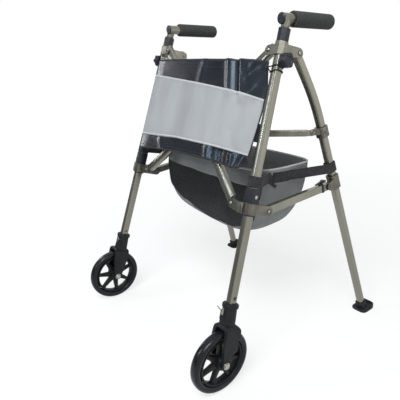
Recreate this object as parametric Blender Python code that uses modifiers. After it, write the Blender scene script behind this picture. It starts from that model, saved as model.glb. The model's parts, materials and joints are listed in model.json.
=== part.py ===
import math

import bmesh
import bpy
import numpy as np
from mathutils import Matrix, Vector
from mathutils.bvhtree import BVHTree

# Folding travel walker. Metres, +Z up, front (wheels) towards -Y, standing on Z = 0.
# _l is the side at +X, _r its mirror image at -X.

# Frame: where the front leg's axis passes the hub, and how the leg leans
HUB_X, HUB_Y, HUB_Z = 0.2262, -0.0329, 0.7258
RAKE = math.radians(17.94)        # brace plane leans, its foot to the front
SPLAY = math.radians(3.5)         # front leg in the brace plane
TOE = math.radians(4.6)           # plane of the rear leg about the front leg

GAP = 0.0003                      # between pieces that seat
RUN = 0.0006                      # between pieces that turn

# Front leg and handle post
LEG_W, LEG_D, LEG_R, LEG_WALL = 0.0190, 0.0200, 0.0050, 0.0015
LEG_TOP, LEG_BOTTOM = 0.0195, -0.5475
LEG_HOLE_AT, LEG_HOLE_R = -0.5365, 0.0026
POST_FIT = 0.0005
POST_LOW = -0.1950
TEE_R, TEE_IN, TEE_UP = 0.0113, 0.0082, 0.0696    # cross tube: inward of the hub and above it
TEE_FRONT, TEE_CAP = 0.0080, 0.0030        # along the cross tube, from the hub
GRIP_FRONT, GRIP_REAR, GRIP_R = 0.0440, 0.1755, 0.0166
NECK_R = 0.0086
BUSH_AF, BUSH_H = 0.0256, 0.0275

# Hub
HUB_AF, HUB_LOW, HUB_TOP = 0.0280, -0.0040, 0.0238
EAR_T, EAR_R = 0.0030, 0.0108
PIN_R, HEAD_R, HEAD_H = 0.0030, 0.0045, 0.0017
SINK = 0.0006                     # how far joined pieces run into each other
REAR_E = -0.0060                  # plane of the rear leg and side brace
REAR_V, REAR_W = 0.0500, 0.0170   # rear leg's pivot

# Clamp knob
KNOB_AT, KNOB_R, KNOB_T = -0.0160, 0.0165, 0.0200
KNOB_BOSS_R, KNOB_SHANK_R = 0.0065, 0.0030

# Arms of the X-brace
ARM_W, ARM_D, ARM_R, TUBE_WALL = 0.0220, 0.0150, 0.0040, 0.0016
ARM_OFFSET = 0.0100               # arm_a behind the leg plane, arm_b in front of it
ARM_END = 0.0110
TOP_IN, TOP_AT = 0.0360, 0.0118   # upper pivots: in from the leg's axis, along it
LOW_IN, LOW_AT = 0.0400, -0.3290  # lower pivots
CENTRE_PIN_R, CENTRE_HEAD_R = 0.0050, 0.0090

# Slider on the front leg
SLEEVE_W, SLEEVE_D = 0.0255, 0.0265
SLEEVE_TOP, SLEEVE_LOW, SLEEVE_BOLT_AT = -0.2880, -0.3207, -0.3060
SLIDE_TOP, SLIDE_LOW = -0.3210, -0.3460
SLIDE_PLAY_W, SLIDE_PLAY_D = 0.0023, 0.0006
LINER_WALL, SLIDE_WALL = 0.0014, 0.0020
LINER_BELOW = 0.0030
BRACE_V, BRACE_W = 0.0540, -0.3340     # side brace's front pivot
BRACE_END_V, BRACE_END_W = 0.2480, -0.2520
BRACE_H, BRACE_D, BRACE_R = 0.0185, 0.0150, 0.0035
BRACE_PLAY = 0.0024

# Rear leg
REAR_S, REAR_R = 0.0185, 0.0045
BEND_V, BEND_W, BEND_RUN = 0.1422, -0.0656, 0.0550
REAR_FOOT_V, REAR_FOOT_W = 0.5220, -0.5850
COLLAR_S = 0.0262
UPPER_AT, UPPER_H = 0.0740, 0.0270     # from the bend, along the lower run
LOWER_AT, LOWER_H = 0.2120, 0.0380

# Strut from the upper collar to the brace
STRUT_V, STRUT_W = 0.1520, -0.1363
STRUT_H, STRUT_D, STRUT_R = 0.0155, 0.0130, 0.0025
STRUT_TIP_X, STRUT_TIP_M, STRUT_CLEAR = 0.0500, 0.0380, 0.0080
STRUT_EYE_R, STRUT_EYE_T = 0.0072, 0.0060

# Fork and wheel
WHEEL_R, TYRE_H, TYRE_W = 0.0762, 0.0177, 0.0250
RIM_H, RIM_W, WHEEL_HUB_R, WHEEL_HUB_W = 0.0055, 0.0200, 0.0165, 0.0320
TYRE_IN = WHEEL_R - TYRE_H
RIM_IN = TYRE_IN - RIM_H
SPOKES, SPOKE_W0, SPOKE_W1, SPOKE_T = 7, 0.0150, 0.0085, 0.0110
AXLE_R, AXLE_HEAD_R, AXLE_HEAD_T = 0.0040, 0.0065, 0.0045
FORK_RING_R, FORK_RING_TOP, FORK_RING_LOW = 0.0192, -0.5480, -0.5575
FORK_STEM_R = 0.0165
CHEEK_T, CHEEK_D, CHEEK_END_R = 0.0080, 0.0420, 0.0108
CROWN_T = 0.0080
WIRE_R = 0.0013

# Foot
FOOT_W, FOOT_L, SOLE_T, FOOT_WALL = 0.0480, 0.0580, 0.0065, 0.0140

# Cloth
PANEL_T, PANEL_TOP, PANEL_LOW = 0.0016, -0.0180, -0.2680
PANEL_FRONT, PANEL_EDGE = -0.0250, -0.0150
PANEL_INSET = 0.0125
POUCH_T = 0.0022
POUCH_TILT = 0.0700
STRAP_H, STRAP_T = 0.0250, 0.0018

for old in list(bpy.data.objects):
    bpy.data.objects.remove(old, do_unlink=True)

parts = bpy.data.collections.new("travel_walker")
bpy.context.scene.collection.children.link(parts)
cutters = bpy.data.collections.new("travel_walker_cutters")
bpy.context.scene.collection.children.link(cutters)


# Frames: matrices whose columns are the axes and the origin
def frame(origin, x, y, z):
    m = Matrix((x, y, z)).transposed().to_4x4()
    m.translation = origin
    return m


X0 = Vector((1, 0, 0))
N0 = Vector((0, math.cos(RAKE), -math.sin(RAKE)))   # rearward normal of the brace plane
M0 = Vector((0, math.sin(RAKE), math.cos(RAKE)))    # up in the brace plane
H0 = X0 * math.cos(SPLAY) + M0 * math.sin(SPLAY)    # outward
UP = M0 * math.cos(SPLAY) - X0 * math.sin(SPLAY)    # up the front leg
E0 = H0 * math.cos(TOE) - N0 * math.sin(TOE)        # outward from the side plane
V0 = N0 * math.cos(TOE) + H0 * math.sin(TOE)        # rearward in the side plane
HUB = Vector((HUB_X, HUB_Y, HUB_Z))
LEG = frame(HUB, H0, N0, UP)
SIDE = frame(HUB, E0, V0, UP)
BRACE = frame(Vector((0, HUB_Y, HUB_Z)), X0, N0, M0)
FLAT_SIDE = SIDE @ frame(Vector((0, 0, 0)), Vector((0, 1, 0)), Vector((0, 0, 1)), X0)
FLAT_LEG = LEG @ frame(Vector((0, 0, 0)), X0, Vector((0, 0, 1)), Vector((0, -1, 0)))
AXLE_AT = (WHEEL_R - HUB_Z) / UP.z
AXLE = LEG @ Vector((0, 0, AXLE_AT))
FORK = frame(AXLE, X0, N0, M0)


# Modelling helpers: shapes are made in a frame and kept in world space until they are seated
def rounded(w, d, r, seg=3):
    r = min(r, 0.45 * min(w, d))
    pts = []
    for cx, cy, a0 in ((1, 1, 0), (-1, 1, 90), (-1, -1, 180), (1, -1, 270)):
        for i in range(seg + 1):
            a = math.radians(a0 + 90 * i / seg)
            pts.append((cx * (w / 2 - r) + r * math.cos(a), cy * (d / 2 - r) + r * math.sin(a)))
    return pts


def ring(r, n=20, cx=0.0, cy=0.0, turn=0.0):
    return [(cx + r * math.cos(turn + 2 * math.pi * i / n), cy + r * math.sin(turn + 2 * math.pi * i / n))
            for i in range(n)]


def octagon(af):
    return ring(af / 2 / math.cos(math.pi / 8), 8, turn=math.pi / 8)


def hull(points):
    pts = sorted(set((round(x, 7), round(y, 7)) for x, y in points))

    def half(seq):
        out = []
        for p in seq:
            while len(out) > 1 and ((out[-1][0] - out[-2][0]) * (p[1] - out[-2][1])
                                    - (out[-1][1] - out[-2][1]) * (p[0] - out[-2][0])) <= 1e-12:
                out.pop()
            out.append(p)
        return out[:-1]
    return half(pts) + half(pts[::-1])


def to_mesh(ob, m, name):
    ob.matrix_world = m
    bpy.context.view_layer.update()
    deps = bpy.context.evaluated_depsgraph_get()
    me = bpy.data.meshes.new_from_object(ob.evaluated_get(deps))
    me.transform(m)
    data = ob.data
    bpy.data.objects.remove(ob, do_unlink=True)
    if isinstance(data, bpy.types.Curve):
        bpy.data.curves.remove(data)
    bm = bmesh.new()
    bm.from_mesh(me)
    bmesh.ops.remove_doubles(bm, verts=bm.verts, dist=1e-6)
    bmesh.ops.recalc_face_normals(bm, faces=bm.faces)
    bm.to_mesh(me)
    bm.free()
    me.materials.clear()
    new = bpy.data.objects.new(name, me)
    parts.objects.link(new)
    return new


def extrude(name, loops, z0, z1, m=Matrix.Identity(4), bevel=0.0):
    # flat outline, with holes or with bevelled rims, from z0 to z1 of the frame m
    if len(loops) == 1:
        bm = bmesh.new()
        face = bm.faces.new([bm.verts.new((x, y, z0)) for x, y in loops[0]])
        face.normal_update()
        if face.normal.z > 0:
            face.normal_flip()
        top = bmesh.ops.extrude_face_region(bm, geom=[face], use_keep_orig=True)["geom"]
        for v in top:
            if isinstance(v, bmesh.types.BMVert):
                v.co.z = z1
        bmesh.ops.recalc_face_normals(bm, faces=bm.faces)
        if bevel:
            bm.faces.ensure_lookup_table()
            rims = [e for e in bm.edges if abs(e.verts[0].co.z - e.verts[1].co.z) < 1e-7]
            bmesh.ops.bevel(bm, geom=rims, offset=bevel, segments=1, affect='EDGES')
        me = bpy.data.meshes.new(name)
        bm.to_mesh(me)
        bm.free()
        ob = bpy.data.objects.new(name, me)
        parts.objects.link(ob)
        return to_mesh(ob, m, name)
    cu = bpy.data.curves.new(name, 'CURVE')
    cu.dimensions = '2D'
    cu.fill_mode = 'BOTH'
    cu.extrude = (z1 - z0) / 2
    for pts in loops:
        sp = cu.splines.new('POLY')
        sp.points.add(len(pts) - 1)
        for p, (x, y) in zip(sp.points, pts):
            p.co = (x, y, 0, 1)
        sp.use_cyclic_u = True
    ob = bpy.data.objects.new(name, cu)
    parts.objects.link(ob)
    return to_mesh(ob, m @ Matrix.Translation((0, 0, (z0 + z1) / 2)), name)


def turned(name, profile, m, n=24):
    # profile of (radius, height) pairs round the frame's Z, closed on the axis or on itself
    me = bpy.data.meshes.new(name)
    closed = profile[0][0] > 1e-9
    edges = [(i, i + 1) for i in range(len(profile) - 1)]
    if closed:
        edges.append((len(profile) - 1, 0))
    me.from_pydata([(r, 0, z) for r, z in profile], edges, [])
    ob = bpy.data.objects.new(name, me)
    parts.objects.link(ob)
    mod = ob.modifiers.new("Screw", 'SCREW')
    mod.steps = mod.render_steps = n
    mod.use_merge_vertices = True
    mod.merge_threshold = 0.00001
    return to_mesh(ob, m, name)


def rod(name, a, b, r, n=14):
    # plain cylinder between two points
    a, b = Vector(a), Vector(b)
    z = (b - a).normalized()
    x = z.orthogonal().normalized()
    bm = bmesh.new()
    bmesh.ops.create_cone(bm, cap_ends=True, segments=n, radius1=r, radius2=r, depth=(b - a).length)
    me = bpy.data.meshes.new(name)
    bm.to_mesh(me)
    bm.free()
    ob = bpy.data.objects.new(name, me)
    parts.objects.link(ob)
    return to_mesh(ob, frame((a + b) / 2, x, z.cross(x), z), name)


def block(name, x0, x1, y0, y1, z0, z1, m, bevel=0.0):
    bm = bmesh.new()
    bmesh.ops.create_cube(bm, size=1.0)
    for v in bm.verts:
        v.co = ((x0 + x1) / 2 + v.co.x * (x1 - x0), (y0 + y1) / 2 + v.co.y * (y1 - y0),
                (z0 + z1) / 2 + v.co.z * (z1 - z0))
    me = bpy.data.meshes.new(name)
    bm.to_mesh(me)
    bm.free()
    ob = bpy.data.objects.new(name, me)
    parts.objects.link(ob)
    if bevel:
        mod = ob.modifiers.new("Bevel", 'BEVEL')
        mod.width = bevel
        mod.segments = 2
    return to_mesh(ob, m, name)


def swept(name, pts, radius, res=2):
    # round wire or cord through points
    cu = bpy.data.curves.new(name, 'CURVE')
    cu.dimensions = '3D'
    cu.bevel_depth = radius
    cu.bevel_resolution = res
    cu.use_fill_caps = True
    sp = cu.splines.new('POLY')
    sp.points.add(len(pts) - 1)
    for p, q in zip(sp.points, pts):
        p.co = (q[0], q[1], q[2], 1)
    ob = bpy.data.objects.new(name, cu)
    parts.objects.link(ob)
    return to_mesh(ob, Matrix.Identity(4), name)


def loft(name, sections, ends=True):
    # closed sections of equal count, joined in order
    bm = bmesh.new()
    rows = [[bm.verts.new(p) for p in s] for s in sections]
    k = len(rows[0])
    for a, b in zip(rows, rows[1:]):
        for i in range(k):
            bm.faces.new((a[i], a[(i + 1) % k], b[(i + 1) % k], b[i]))
    if ends:
        bm.faces.new(rows[0][::-1])
        bm.faces.new(rows[-1])
    me = bpy.data.meshes.new(name)
    bm.to_mesh(me)
    bm.free()
    ob = bpy.data.objects.new(name, me)
    parts.objects.link(ob)
    return to_mesh(ob, Matrix.Identity(4), name)


def combine(ob, others, how):
    for other in others:
        cutters.objects.link(other)
        parts.objects.unlink(other)
        other.hide_render = True
        other.display_type = 'WIRE'
        mod = ob.modifiers.new("Boolean", 'BOOLEAN')
        mod.operation = how
        mod.object = other
        bpy.context.view_layer.update()
        deps = bpy.context.evaluated_depsgraph_get()
        me = bpy.data.meshes.new_from_object(ob.evaluated_get(deps))
        ob.modifiers.clear()
        old, ob.data = ob.data, me
        bpy.data.meshes.remove(old)
        bpy.data.objects.remove(other, do_unlink=True)
        bm = bmesh.new()
        bm.from_mesh(me)
        bmesh.ops.remove_doubles(bm, verts=bm.verts, dist=2e-6)
        bmesh.ops.dissolve_degenerate(bm, edges=bm.edges, dist=1e-7)
        bm.to_mesh(me)
        bm.free()
    return ob


def join(ob, *others):
    return combine(ob, others, 'UNION')


def cut(ob, *others):
    return combine(ob, others, 'DIFFERENCE')


def common(ob, *others):
    return combine(ob, others, 'INTERSECT')


MATERIALS = {
    "frame": ((0.36, 0.33, 0.28), 0.32, 0.85),
    "cast": ((0.33, 0.31, 0.27), 0.42, 0.70),
    "rivet": ((0.62, 0.60, 0.56), 0.28, 0.95),
    "black_plastic": ((0.028, 0.030, 0.034), 0.45, 0.0),
    "fork_plastic": ((0.022, 0.024, 0.026), 0.50, 0.0),
    "foam": ((0.045, 0.048, 0.052), 0.90, 0.0),
    "rubber": ((0.020, 0.020, 0.021), 0.75, 0.0),
    "wire": ((0.72, 0.71, 0.68), 0.25, 1.0),
    "webbing": ((0.012, 0.012, 0.014), 0.85, 0.0),
    "cloth": ((0.40, 0.42, 0.43), 0.80, 0.0),
    "mesh_cloth": ((0.10, 0.11, 0.12), 0.85, 0.0),
}


def paint(ob, key):
    colour, rough, metal = MATERIALS[key]
    mat = bpy.data.materials.new(ob.name)
    mat.use_nodes = True
    mat.diffuse_color = (*colour, 1)
    shader = mat.node_tree.nodes["Principled BSDF"]
    shader.inputs["Base Color"].default_value = (*colour, 1)
    shader.inputs["Roughness"].default_value = rough
    shader.inputs["Metallic"].default_value = metal
    ob.data.materials.clear()
    ob.data.materials.append(mat)


EMPTIES = {}


def body(name, m):
    if name not in EMPTIES:
        e = bpy.data.objects.new("body_" + name, None)
        e.empty_display_size = 0.02
        parts.objects.link(e)
        e.matrix_world = m
        EMPTIES[name] = (e, m.copy())
    return name


FLIP = Matrix.Diagonal((-1, 1, 1, 1))


def seat(ob, owner, m, key, smooth=40):
    # origin and axes of the piece go to its frame, under its body's empty
    e, base = EMPTIES[owner]
    ob.data.transform(m.inverted())
    ob.parent = e
    ob.matrix_basis = base.inverted() @ m
    ob.data.shade_smooth()
    ob.data.set_sharp_from_angle(angle=math.radians(smooth))
    ob.data.name = ob.name
    paint(ob, key)
    return ob


def both(ob, stem, owner, m, key, smooth=40):
    # the piece for the +X side, and its mirror image
    me = ob.data.copy()
    me.transform(FLIP)
    me.flip_normals()
    twin = bpy.data.objects.new(stem + "_r", me)
    parts.objects.link(twin)
    ob.name = stem + "_l"
    seat(ob, owner + "_l", m, key, smooth)
    seat(twin, owner + "_r", FLIP @ m @ FLIP, key, smooth)


def pair(left, right, stem, owner, m, key, smooth=40):
    # two unlike sides, both modelled at +X; the second is mirrored over
    right.data.transform(FLIP)
    right.data.flip_normals()
    left.name, right.name = stem + "_l", stem + "_r"
    seat(left, owner + "_l", m, key, smooth)
    seat(right, owner + "_r", FLIP @ m @ FLIP, key, smooth)


# Pivot points in the leg's frame and the brace's geometry
TOP = LEG @ Vector((-TOP_IN, 0, TOP_AT))
LOW = LEG @ Vector((-LOW_IN, 0, LOW_AT))
top_b, low_b = BRACE.inverted() @ TOP, BRACE.inverted() @ LOW
share = top_b.x / (top_b.x + low_b.x)
CENTRE_M = top_b.z - (top_b.z - low_b.z) * share
CENTRE = BRACE @ Vector((0, 0, CENTRE_M))
REAR = SIDE @ Vector((REAR_E, REAR_V, REAR_W))
BRACE_FRONT = SIDE @ Vector((REAR_E, BRACE_V, BRACE_W))
STRUT_AT = SIDE @ Vector((REAR_E, STRUT_V, STRUT_W))
down = Vector((0, REAR_FOOT_V - BEND_V, REAR_FOOT_W - BEND_W)).normalized()
fore = Vector((0, down.z, -down.y))
if fore.y > 0:
    fore = -fore
run_top = Vector((0, BEND_V - REAR_V, BEND_W - REAR_W)).normalized()

for s, f in (("_l", Matrix.Identity(4)), ("_r", FLIP)):
    body("leg" + s, f @ LEG @ f)
    body("handle" + s, f @ frame(HUB, H0, N0, UP) @ f)
    body("knob" + s, f @ SIDE @ Matrix.Translation((0, 0, KNOB_AT)) @ f)
    body("slider" + s, f @ frame(LOW, H0, N0, UP) @ f)
    body("rear" + s, f @ frame(REAR, E0, V0, UP) @ f)
    body("brace" + s, f @ frame(BRACE_FRONT, E0, V0, UP) @ f)
    body("wheel" + s, f @ FORK @ f)
body("centre", frame(CENTRE, X0, N0, M0))
body("cloth", frame(CENTRE, X0, N0, M0))
body("arm_a", frame(CENTRE, X0, N0, M0))
body("arm_b", frame(CENTRE, X0, N0, M0))

# Front leg: open tube, with the clamp's hole and the fork's hole
bore_w, bore_d = LEG_W - 2 * LEG_WALL, LEG_D - 2 * LEG_WALL
leg = extrude("front_leg", [rounded(LEG_W, LEG_D, LEG_R), rounded(bore_w, bore_d, LEG_R - LEG_WALL)],
              LEG_BOTTOM, LEG_TOP, LEG)
cut(leg, rod("c", LEG @ Vector((-LEG_W, 0, LEG_HOLE_AT)), LEG @ Vector((LEG_W, 0, LEG_HOLE_AT)), LEG_HOLE_R, 12),
    rod("c", SIDE @ Vector((0.004, 0, KNOB_AT)), SIDE @ Vector((LEG_W, 0, KNOB_AT)), KNOB_SHANK_R + GAP, 12))
both(leg, "front_leg", "leg", LEG, "frame", 50)

# Handle post with its cross tube, cap, grip and bush
post_w, post_d = bore_w - 2 * POST_FIT, bore_d - 2 * POST_FIT
post_top = TEE_UP / UP.z
post = extrude("post", [rounded(post_w, post_d, LEG_R - LEG_WALL - POST_FIT)], POST_LOW, post_top, LEG)
TEE = frame(Vector((HUB_X - TEE_IN, HUB_Y, HUB_Z + TEE_UP)), Vector((0, 0, 1)), X0, Vector((0, 1, 0)))
cross = turned("cross", [(0, TEE_FRONT + TEE_CAP + GAP), (TEE_R, TEE_FRONT + TEE_CAP + GAP),
                         (TEE_R, GRIP_REAR - 0.012), (0, GRIP_REAR - 0.012)], TEE, 22)
collar = rod("tee_neck", LEG @ Vector((0, 0, HUB_TOP + BUSH_H + 0.004)), LEG @ Vector((0, 0, post_top)), NECK_R, 14)
join(post, collar)
cut(post, turned("c", [(0, -0.05), (TEE_R + 0.002, -0.05), (TEE_R + 0.002, TEE_FRONT + TEE_CAP + GAP),
                       (0, TEE_FRONT + TEE_CAP + GAP)], TEE, 22))
join(post, cross)
both(post, "handle_stem", "handle", LEG, "cast")
cap = turned("tee_cap", [(0, TEE_FRONT), (TEE_R - 0.002, TEE_FRONT), (TEE_R + 0.0004, TEE_FRONT + 0.002),
                         (TEE_R + 0.0004, TEE_FRONT + TEE_CAP), (0, TEE_FRONT + TEE_CAP)], TEE, 22)
both(cap, "tee_cap", "handle", TEE, "black_plastic")
g_end = GRIP_REAR - 0.012 + GAP
grip = turned("grip", [(0, GRIP_FRONT), (GRIP_R - 0.002, GRIP_FRONT), (GRIP_R, GRIP_FRONT + 0.002),
                       (GRIP_R, GRIP_REAR - 0.010), (GRIP_R - 0.0025, GRIP_REAR - 0.0035),
                       (GRIP_R - 0.0075, GRIP_REAR), (0.0, GRIP_REAR)],
              TEE, 20)
cut(grip, turned("c", [(0, 0), (TEE_R + GAP, 0), (TEE_R + GAP, g_end), (0, g_end)], TEE, 20))
both(grip, "grip", "handle", TEE, "foam")
bush = extrude("stem_bush", [octagon(BUSH_AF), rounded(post_w + 2 * RUN, post_d + 2 * RUN, 0.003)],
               HUB_TOP + GAP, HUB_TOP + BUSH_H, LEG)
both(bush, "stem_bush", "leg", LEG, "black_plastic", 30)


# Hub: socket on the leg, two ears for the rear leg, one ear for an arm
def ear(name, reach, at, root0, root1, wall, z0, z1, m, r=EAR_R):
    pts = ring(r, 12, reach, at) + [(wall, root0), (wall, root1)]
    return extrude(name, [hull(pts)], z0, z1, m, bevel=0.0005)


def rivet(name, m, x, y, z0, z1, r=PIN_R):
    # shank with a domed head at each end, along the frame's Z
    f = m @ Matrix.Translation((x, y, 0))
    # set a little into the plate it clamps, whose thickness is EAR_T
    s0, s1 = z0 + SINK, z1 - SINK
    return turned(name, [(0, z0 - HEAD_H), (HEAD_R * 0.6, z0 - HEAD_H), (HEAD_R, z0 - HEAD_H * 0.4), (HEAD_R, s0),
                         (r, s0), (r, s1), (HEAD_R, s1), (HEAD_R, z1 + HEAD_H * 0.4),
                         (HEAD_R * 0.6, z1 + HEAD_H), (0, z1 + HEAD_H)], f, 8)


ear_in = REAR_E - REAR_S / 2 - RUN - EAR_T
ear_out = REAR_E + REAR_S / 2 + RUN
WEB_V = 0.0330


def make_hub(offset):
    hub = extrude("hub", [octagon(HUB_AF)], HUB_LOW, HUB_TOP, LEG, bevel=0.0006)
    join(hub, block("web", ear_in + SINK, ear_out + EAR_T - SINK, 0.0060, WEB_V, HUB_LOW + 0.0025, HUB_TOP - 0.0015, SIDE))
    join(hub, ear("ear1", REAR_V, REAR_W, HUB_LOW + 0.002, HUB_TOP - 0.001, 0.012, ear_in, ear_in + EAR_T, FLAT_SIDE))
    join(hub, ear("ear2", REAR_V, REAR_W, HUB_LOW + 0.002, HUB_TOP - 0.001, 0.012, ear_out, ear_out + EAR_T, FLAT_SIDE))
    plate = offset - ARM_D / 2 - RUN - EAR_T
    if plate < -HUB_AF / 2 + 0.002:
        join(hub, block("jog", -HUB_AF / 2 - 0.004, -0.003, plate + SINK, -0.004, HUB_LOW + 0.001, HUB_TOP - 0.001, LEG, 0.001))
    join(hub, ear("ear3", -TOP_IN, TOP_AT, HUB_LOW + 0.0015, HUB_TOP - 0.0015, -0.0090, -plate - EAR_T, -plate,
                  FLAT_LEG))
    cut(hub, extrude("c", [rounded(LEG_W + 2 * GAP, LEG_D + 2 * GAP, LEG_R)], HUB_LOW - 0.01, LEG_TOP + GAP, LEG),
        extrude("c", [rounded(post_w + 2 * RUN, post_d + 2 * RUN, 0.003)], LEG_TOP - 0.01, HUB_TOP + 0.01, LEG))
    join(hub, rivet("rv", FLAT_SIDE, REAR_V, REAR_W, ear_in, ear_out + EAR_T))
    join(hub, rivet("rv", FLAT_LEG, -TOP_IN, TOP_AT, -(offset + ARM_D / 2 + RUN + SINK), -plate))
    return hub


pair(make_hub(ARM_OFFSET), make_hub(-ARM_OFFSET), "hub", "leg", LEG, "cast")

# Clamp knob: lobed head on a boss, its shank in the leg's wall
KNOB = FLAT_SIDE @ Matrix.Translation((0, KNOB_AT, 0))
knob_in = HUB_AF / 2 + RUN
lobes = []
for i in range(30):
    a = 2 * math.pi * i / 30
    r = KNOB_R - 0.0011 + 0.0011 * math.cos(6 * a)
    lobes.append((r * math.cos(a), r * math.sin(a)))
knob = extrude("clamp_knob", [lobes], knob_in, knob_in + KNOB_T, KNOB, bevel=0.0018)
join(knob, turned("boss", [(0, LEG_W / 2 - LEG_WALL + 0.0002), (KNOB_SHANK_R, LEG_W / 2 - LEG_WALL + 0.0002),
                           (KNOB_SHANK_R, LEG_W / 2 + 0.0009), (KNOB_BOSS_R, LEG_W / 2 + 0.0009),
                           (KNOB_BOSS_R, knob_in + 0.001), (0, knob_in + 0.001)], KNOB, 16))
both(knob, "clamp_knob", "knob", KNOB, "black_plastic")

# Cord turned twice round the leg, tied to the panel's corner
cord_r = 0.0011
pts = []
tie = Vector((-LEG_W / 2 - 0.0016, PANEL_EDGE - 0.0005, -0.0262))
tie2 = tie + Vector((0.0, 0.0, -0.015))
turns, per = 2, 12
pts.append(LEG @ tie)
for i in range(turns * per + 1):
    a = math.radians(225) + 2 * math.pi * i / per
    ca, sa = math.cos(a), math.sin(a)
    k = (abs(ca) ** 5 + abs(sa) ** 5) ** (-1 / 5)
    ax, ay = LEG_W / 2 + 0.0004 + cord_r, LEG_D / 2 + 0.0004 + cord_r
    pts.append(LEG @ Vector((ax * ca * k, ay * sa * k, -0.0262 - 0.0150 * i / (turns * per))))
pts.append(LEG @ tie2)
cord = swept("panel_cord", pts, cord_r, 0)
both(cord, "panel_cord", "leg", LEG, "webbing")

# Stop sleeve with its bolt
sleeve = extrude("stop_sleeve", [rounded(SLEEVE_W, SLEEVE_D, 0.006),
                                 rounded(LEG_W + 2 * GAP, LEG_D + 2 * GAP, LEG_R)], SLEEVE_LOW, SLEEVE_TOP, LEG)
SLEEVE_BOLT = LEG @ frame(Vector((0, 0, SLEEVE_BOLT_AT)), Vector((0, 1, 0)), Vector((0, 0, 1)), X0)
bolt_r, bolt_head = 0.0022, 0.0042
cut(sleeve, rod("c", SLEEVE_BOLT @ Vector((0, 0, LEG_W / 2)), SLEEVE_BOLT @ Vector((0, 0, SLEEVE_W)), bolt_r + GAP, 12))
both(sleeve, "stop_sleeve", "leg", LEG, "black_plastic")
bolt = turned("stop_bolt", [(0, LEG_W / 2 + GAP), (bolt_r, LEG_W / 2 + GAP), (bolt_r, SLEEVE_W / 2 + GAP),
                            (bolt_head, SLEEVE_W / 2 + GAP), (bolt_head, SLEEVE_W / 2 + 0.0015),
                            (bolt_head * 0.55, SLEEVE_W / 2 + 0.0028), (0, SLEEVE_W / 2 + 0.0028)], SLEEVE_BOLT, 12)
both(bolt, "stop_bolt", "leg", SLEEVE_BOLT, "rivet")

# Slider: a black liner that runs on the leg, in a cast bracket with two lugs
lin_w, lin_d = LEG_W + 2 * (SLIDE_PLAY_W + LINER_WALL), LEG_D + 2 * (SLIDE_PLAY_D + LINER_WALL)
out_w, out_d = lin_w + 2 * (GAP + SLIDE_WALL), lin_d + 2 * (GAP + SLIDE_WALL)
liner = extrude("slide_liner", [rounded(lin_w, lin_d, 0.0055),
                                rounded(LEG_W + 2 * SLIDE_PLAY_W, LEG_D + 2 * SLIDE_PLAY_D, 0.0045)],
                SLIDE_LOW - LINER_BELOW, SLIDE_TOP - GAP, LEG)
SLIDE_AT = frame(LOW, H0, N0, UP)
both(liner, "slide_liner", "slider", SLIDE_AT, "black_plastic")
brace_out = REAR_E + BRACE_D / 2 + RUN
brace_in = REAR_E - BRACE_D / 2 - RUN - EAR_T


def make_bracket(offset):
    br = extrude("slide_bracket", [rounded(out_w, out_d, 0.0070)], SLIDE_LOW, SLIDE_TOP, LEG, bevel=0.0005)
    join(br, block("web", brace_in + SINK, brace_out + EAR_T - SINK, 0.0040, BRACE_V - BRACE_H / 2 - 0.0075, SLIDE_LOW + 0.001,
                   SLIDE_TOP - 0.001, SIDE))
    for z in (brace_in, brace_out):
        join(br, ear("ear", BRACE_V, BRACE_W, SLIDE_LOW + 0.0005, SLIDE_TOP - 0.0005, 0.010, z, z + EAR_T, FLAT_SIDE,
                     BRACE_H / 2 + 0.0025))
    plate = offset - ARM_D / 2 - RUN - EAR_T
    if plate < -out_d / 2 + 0.002:
        join(br, block("jog", -out_w / 2 - 0.004, -0.003, plate + SINK, -0.004, SLIDE_LOW + 0.001, SLIDE_TOP - 0.001, LEG,
                       0.001))
    join(br, ear("ear3", -LOW_IN, LOW_AT, SLIDE_LOW + 0.001, SLIDE_TOP - 0.001, -0.0110, -plate - EAR_T, -plate,
                 FLAT_LEG))
    cut(br, extrude("c", [rounded(lin_w + 2 * GAP, lin_d + 2 * GAP, 0.0055)], SLIDE_LOW - 0.01, SLIDE_TOP + 0.01, LEG))
    join(br, rivet("rv", FLAT_SIDE, BRACE_V, BRACE_W, brace_in, brace_out + EAR_T))
    join(br, rivet("rv", FLAT_LEG, -LOW_IN, LOW_AT, -(offset + ARM_D / 2 + RUN + SINK), -plate))
    return br


# the +X slider carries arm_b, the -X slider arm_a
pair(make_bracket(-ARM_OFFSET), make_bracket(ARM_OFFSET), "slide_bracket", "slider", SLIDE_AT, "cast")

# Rear leg: rounded square tube with one soft bend
bend = Vector((REAR_E, BEND_V, BEND_W))
foot_end = Vector((REAR_E, REAR_FOOT_V, REAR_FOOT_W))
rear_pin = Vector((REAR_E, REAR_V, REAR_W))
p0 = rear_pin - run_top * (REAR_S / 2)
centre = [p0]
for i in range(7):
    t = i / 6
    a, b, c = bend - run_top * BEND_RUN, bend, bend + down * BEND_RUN
    centre.append(a * (1 - t) ** 2 + b * 2 * t * (1 - t) + c * t * t)
centre.append(foot_end)
def run_of(line, prof):
    out = []
    for i, p in enumerate(line):
        d = (line[min(i + 1, len(line) - 1)] - line[max(i - 1, 0)]).normalized()
        q = Vector((0, d.z, -d.y))
        out.append([SIDE @ (p + Vector((u, 0, 0)) + q * w) for u, w in prof])
    return out


rear = loft("rear_leg", run_of(centre, rounded(REAR_S, REAR_S, REAR_R, 2)))
inside = [centre[0] + run_top * 0.022] + centre[1:-1] + [centre[-1] + down * 0.004]
cut(rear, loft("c", run_of(inside, rounded(REAR_S - 2 * TUBE_WALL, REAR_S - 2 * TUBE_WALL, REAR_R - TUBE_WALL, 1))))
cut(rear, rod("c", SIDE @ (rear_pin - Vector((0.03, 0, 0))), SIDE @ (rear_pin + Vector((0.03, 0, 0))),
              PIN_R + GAP, 12))
REAR_AT = frame(REAR, E0, V0, UP)
both(rear, "rear_leg", "rear", REAR_AT, "frame", 50)

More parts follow.
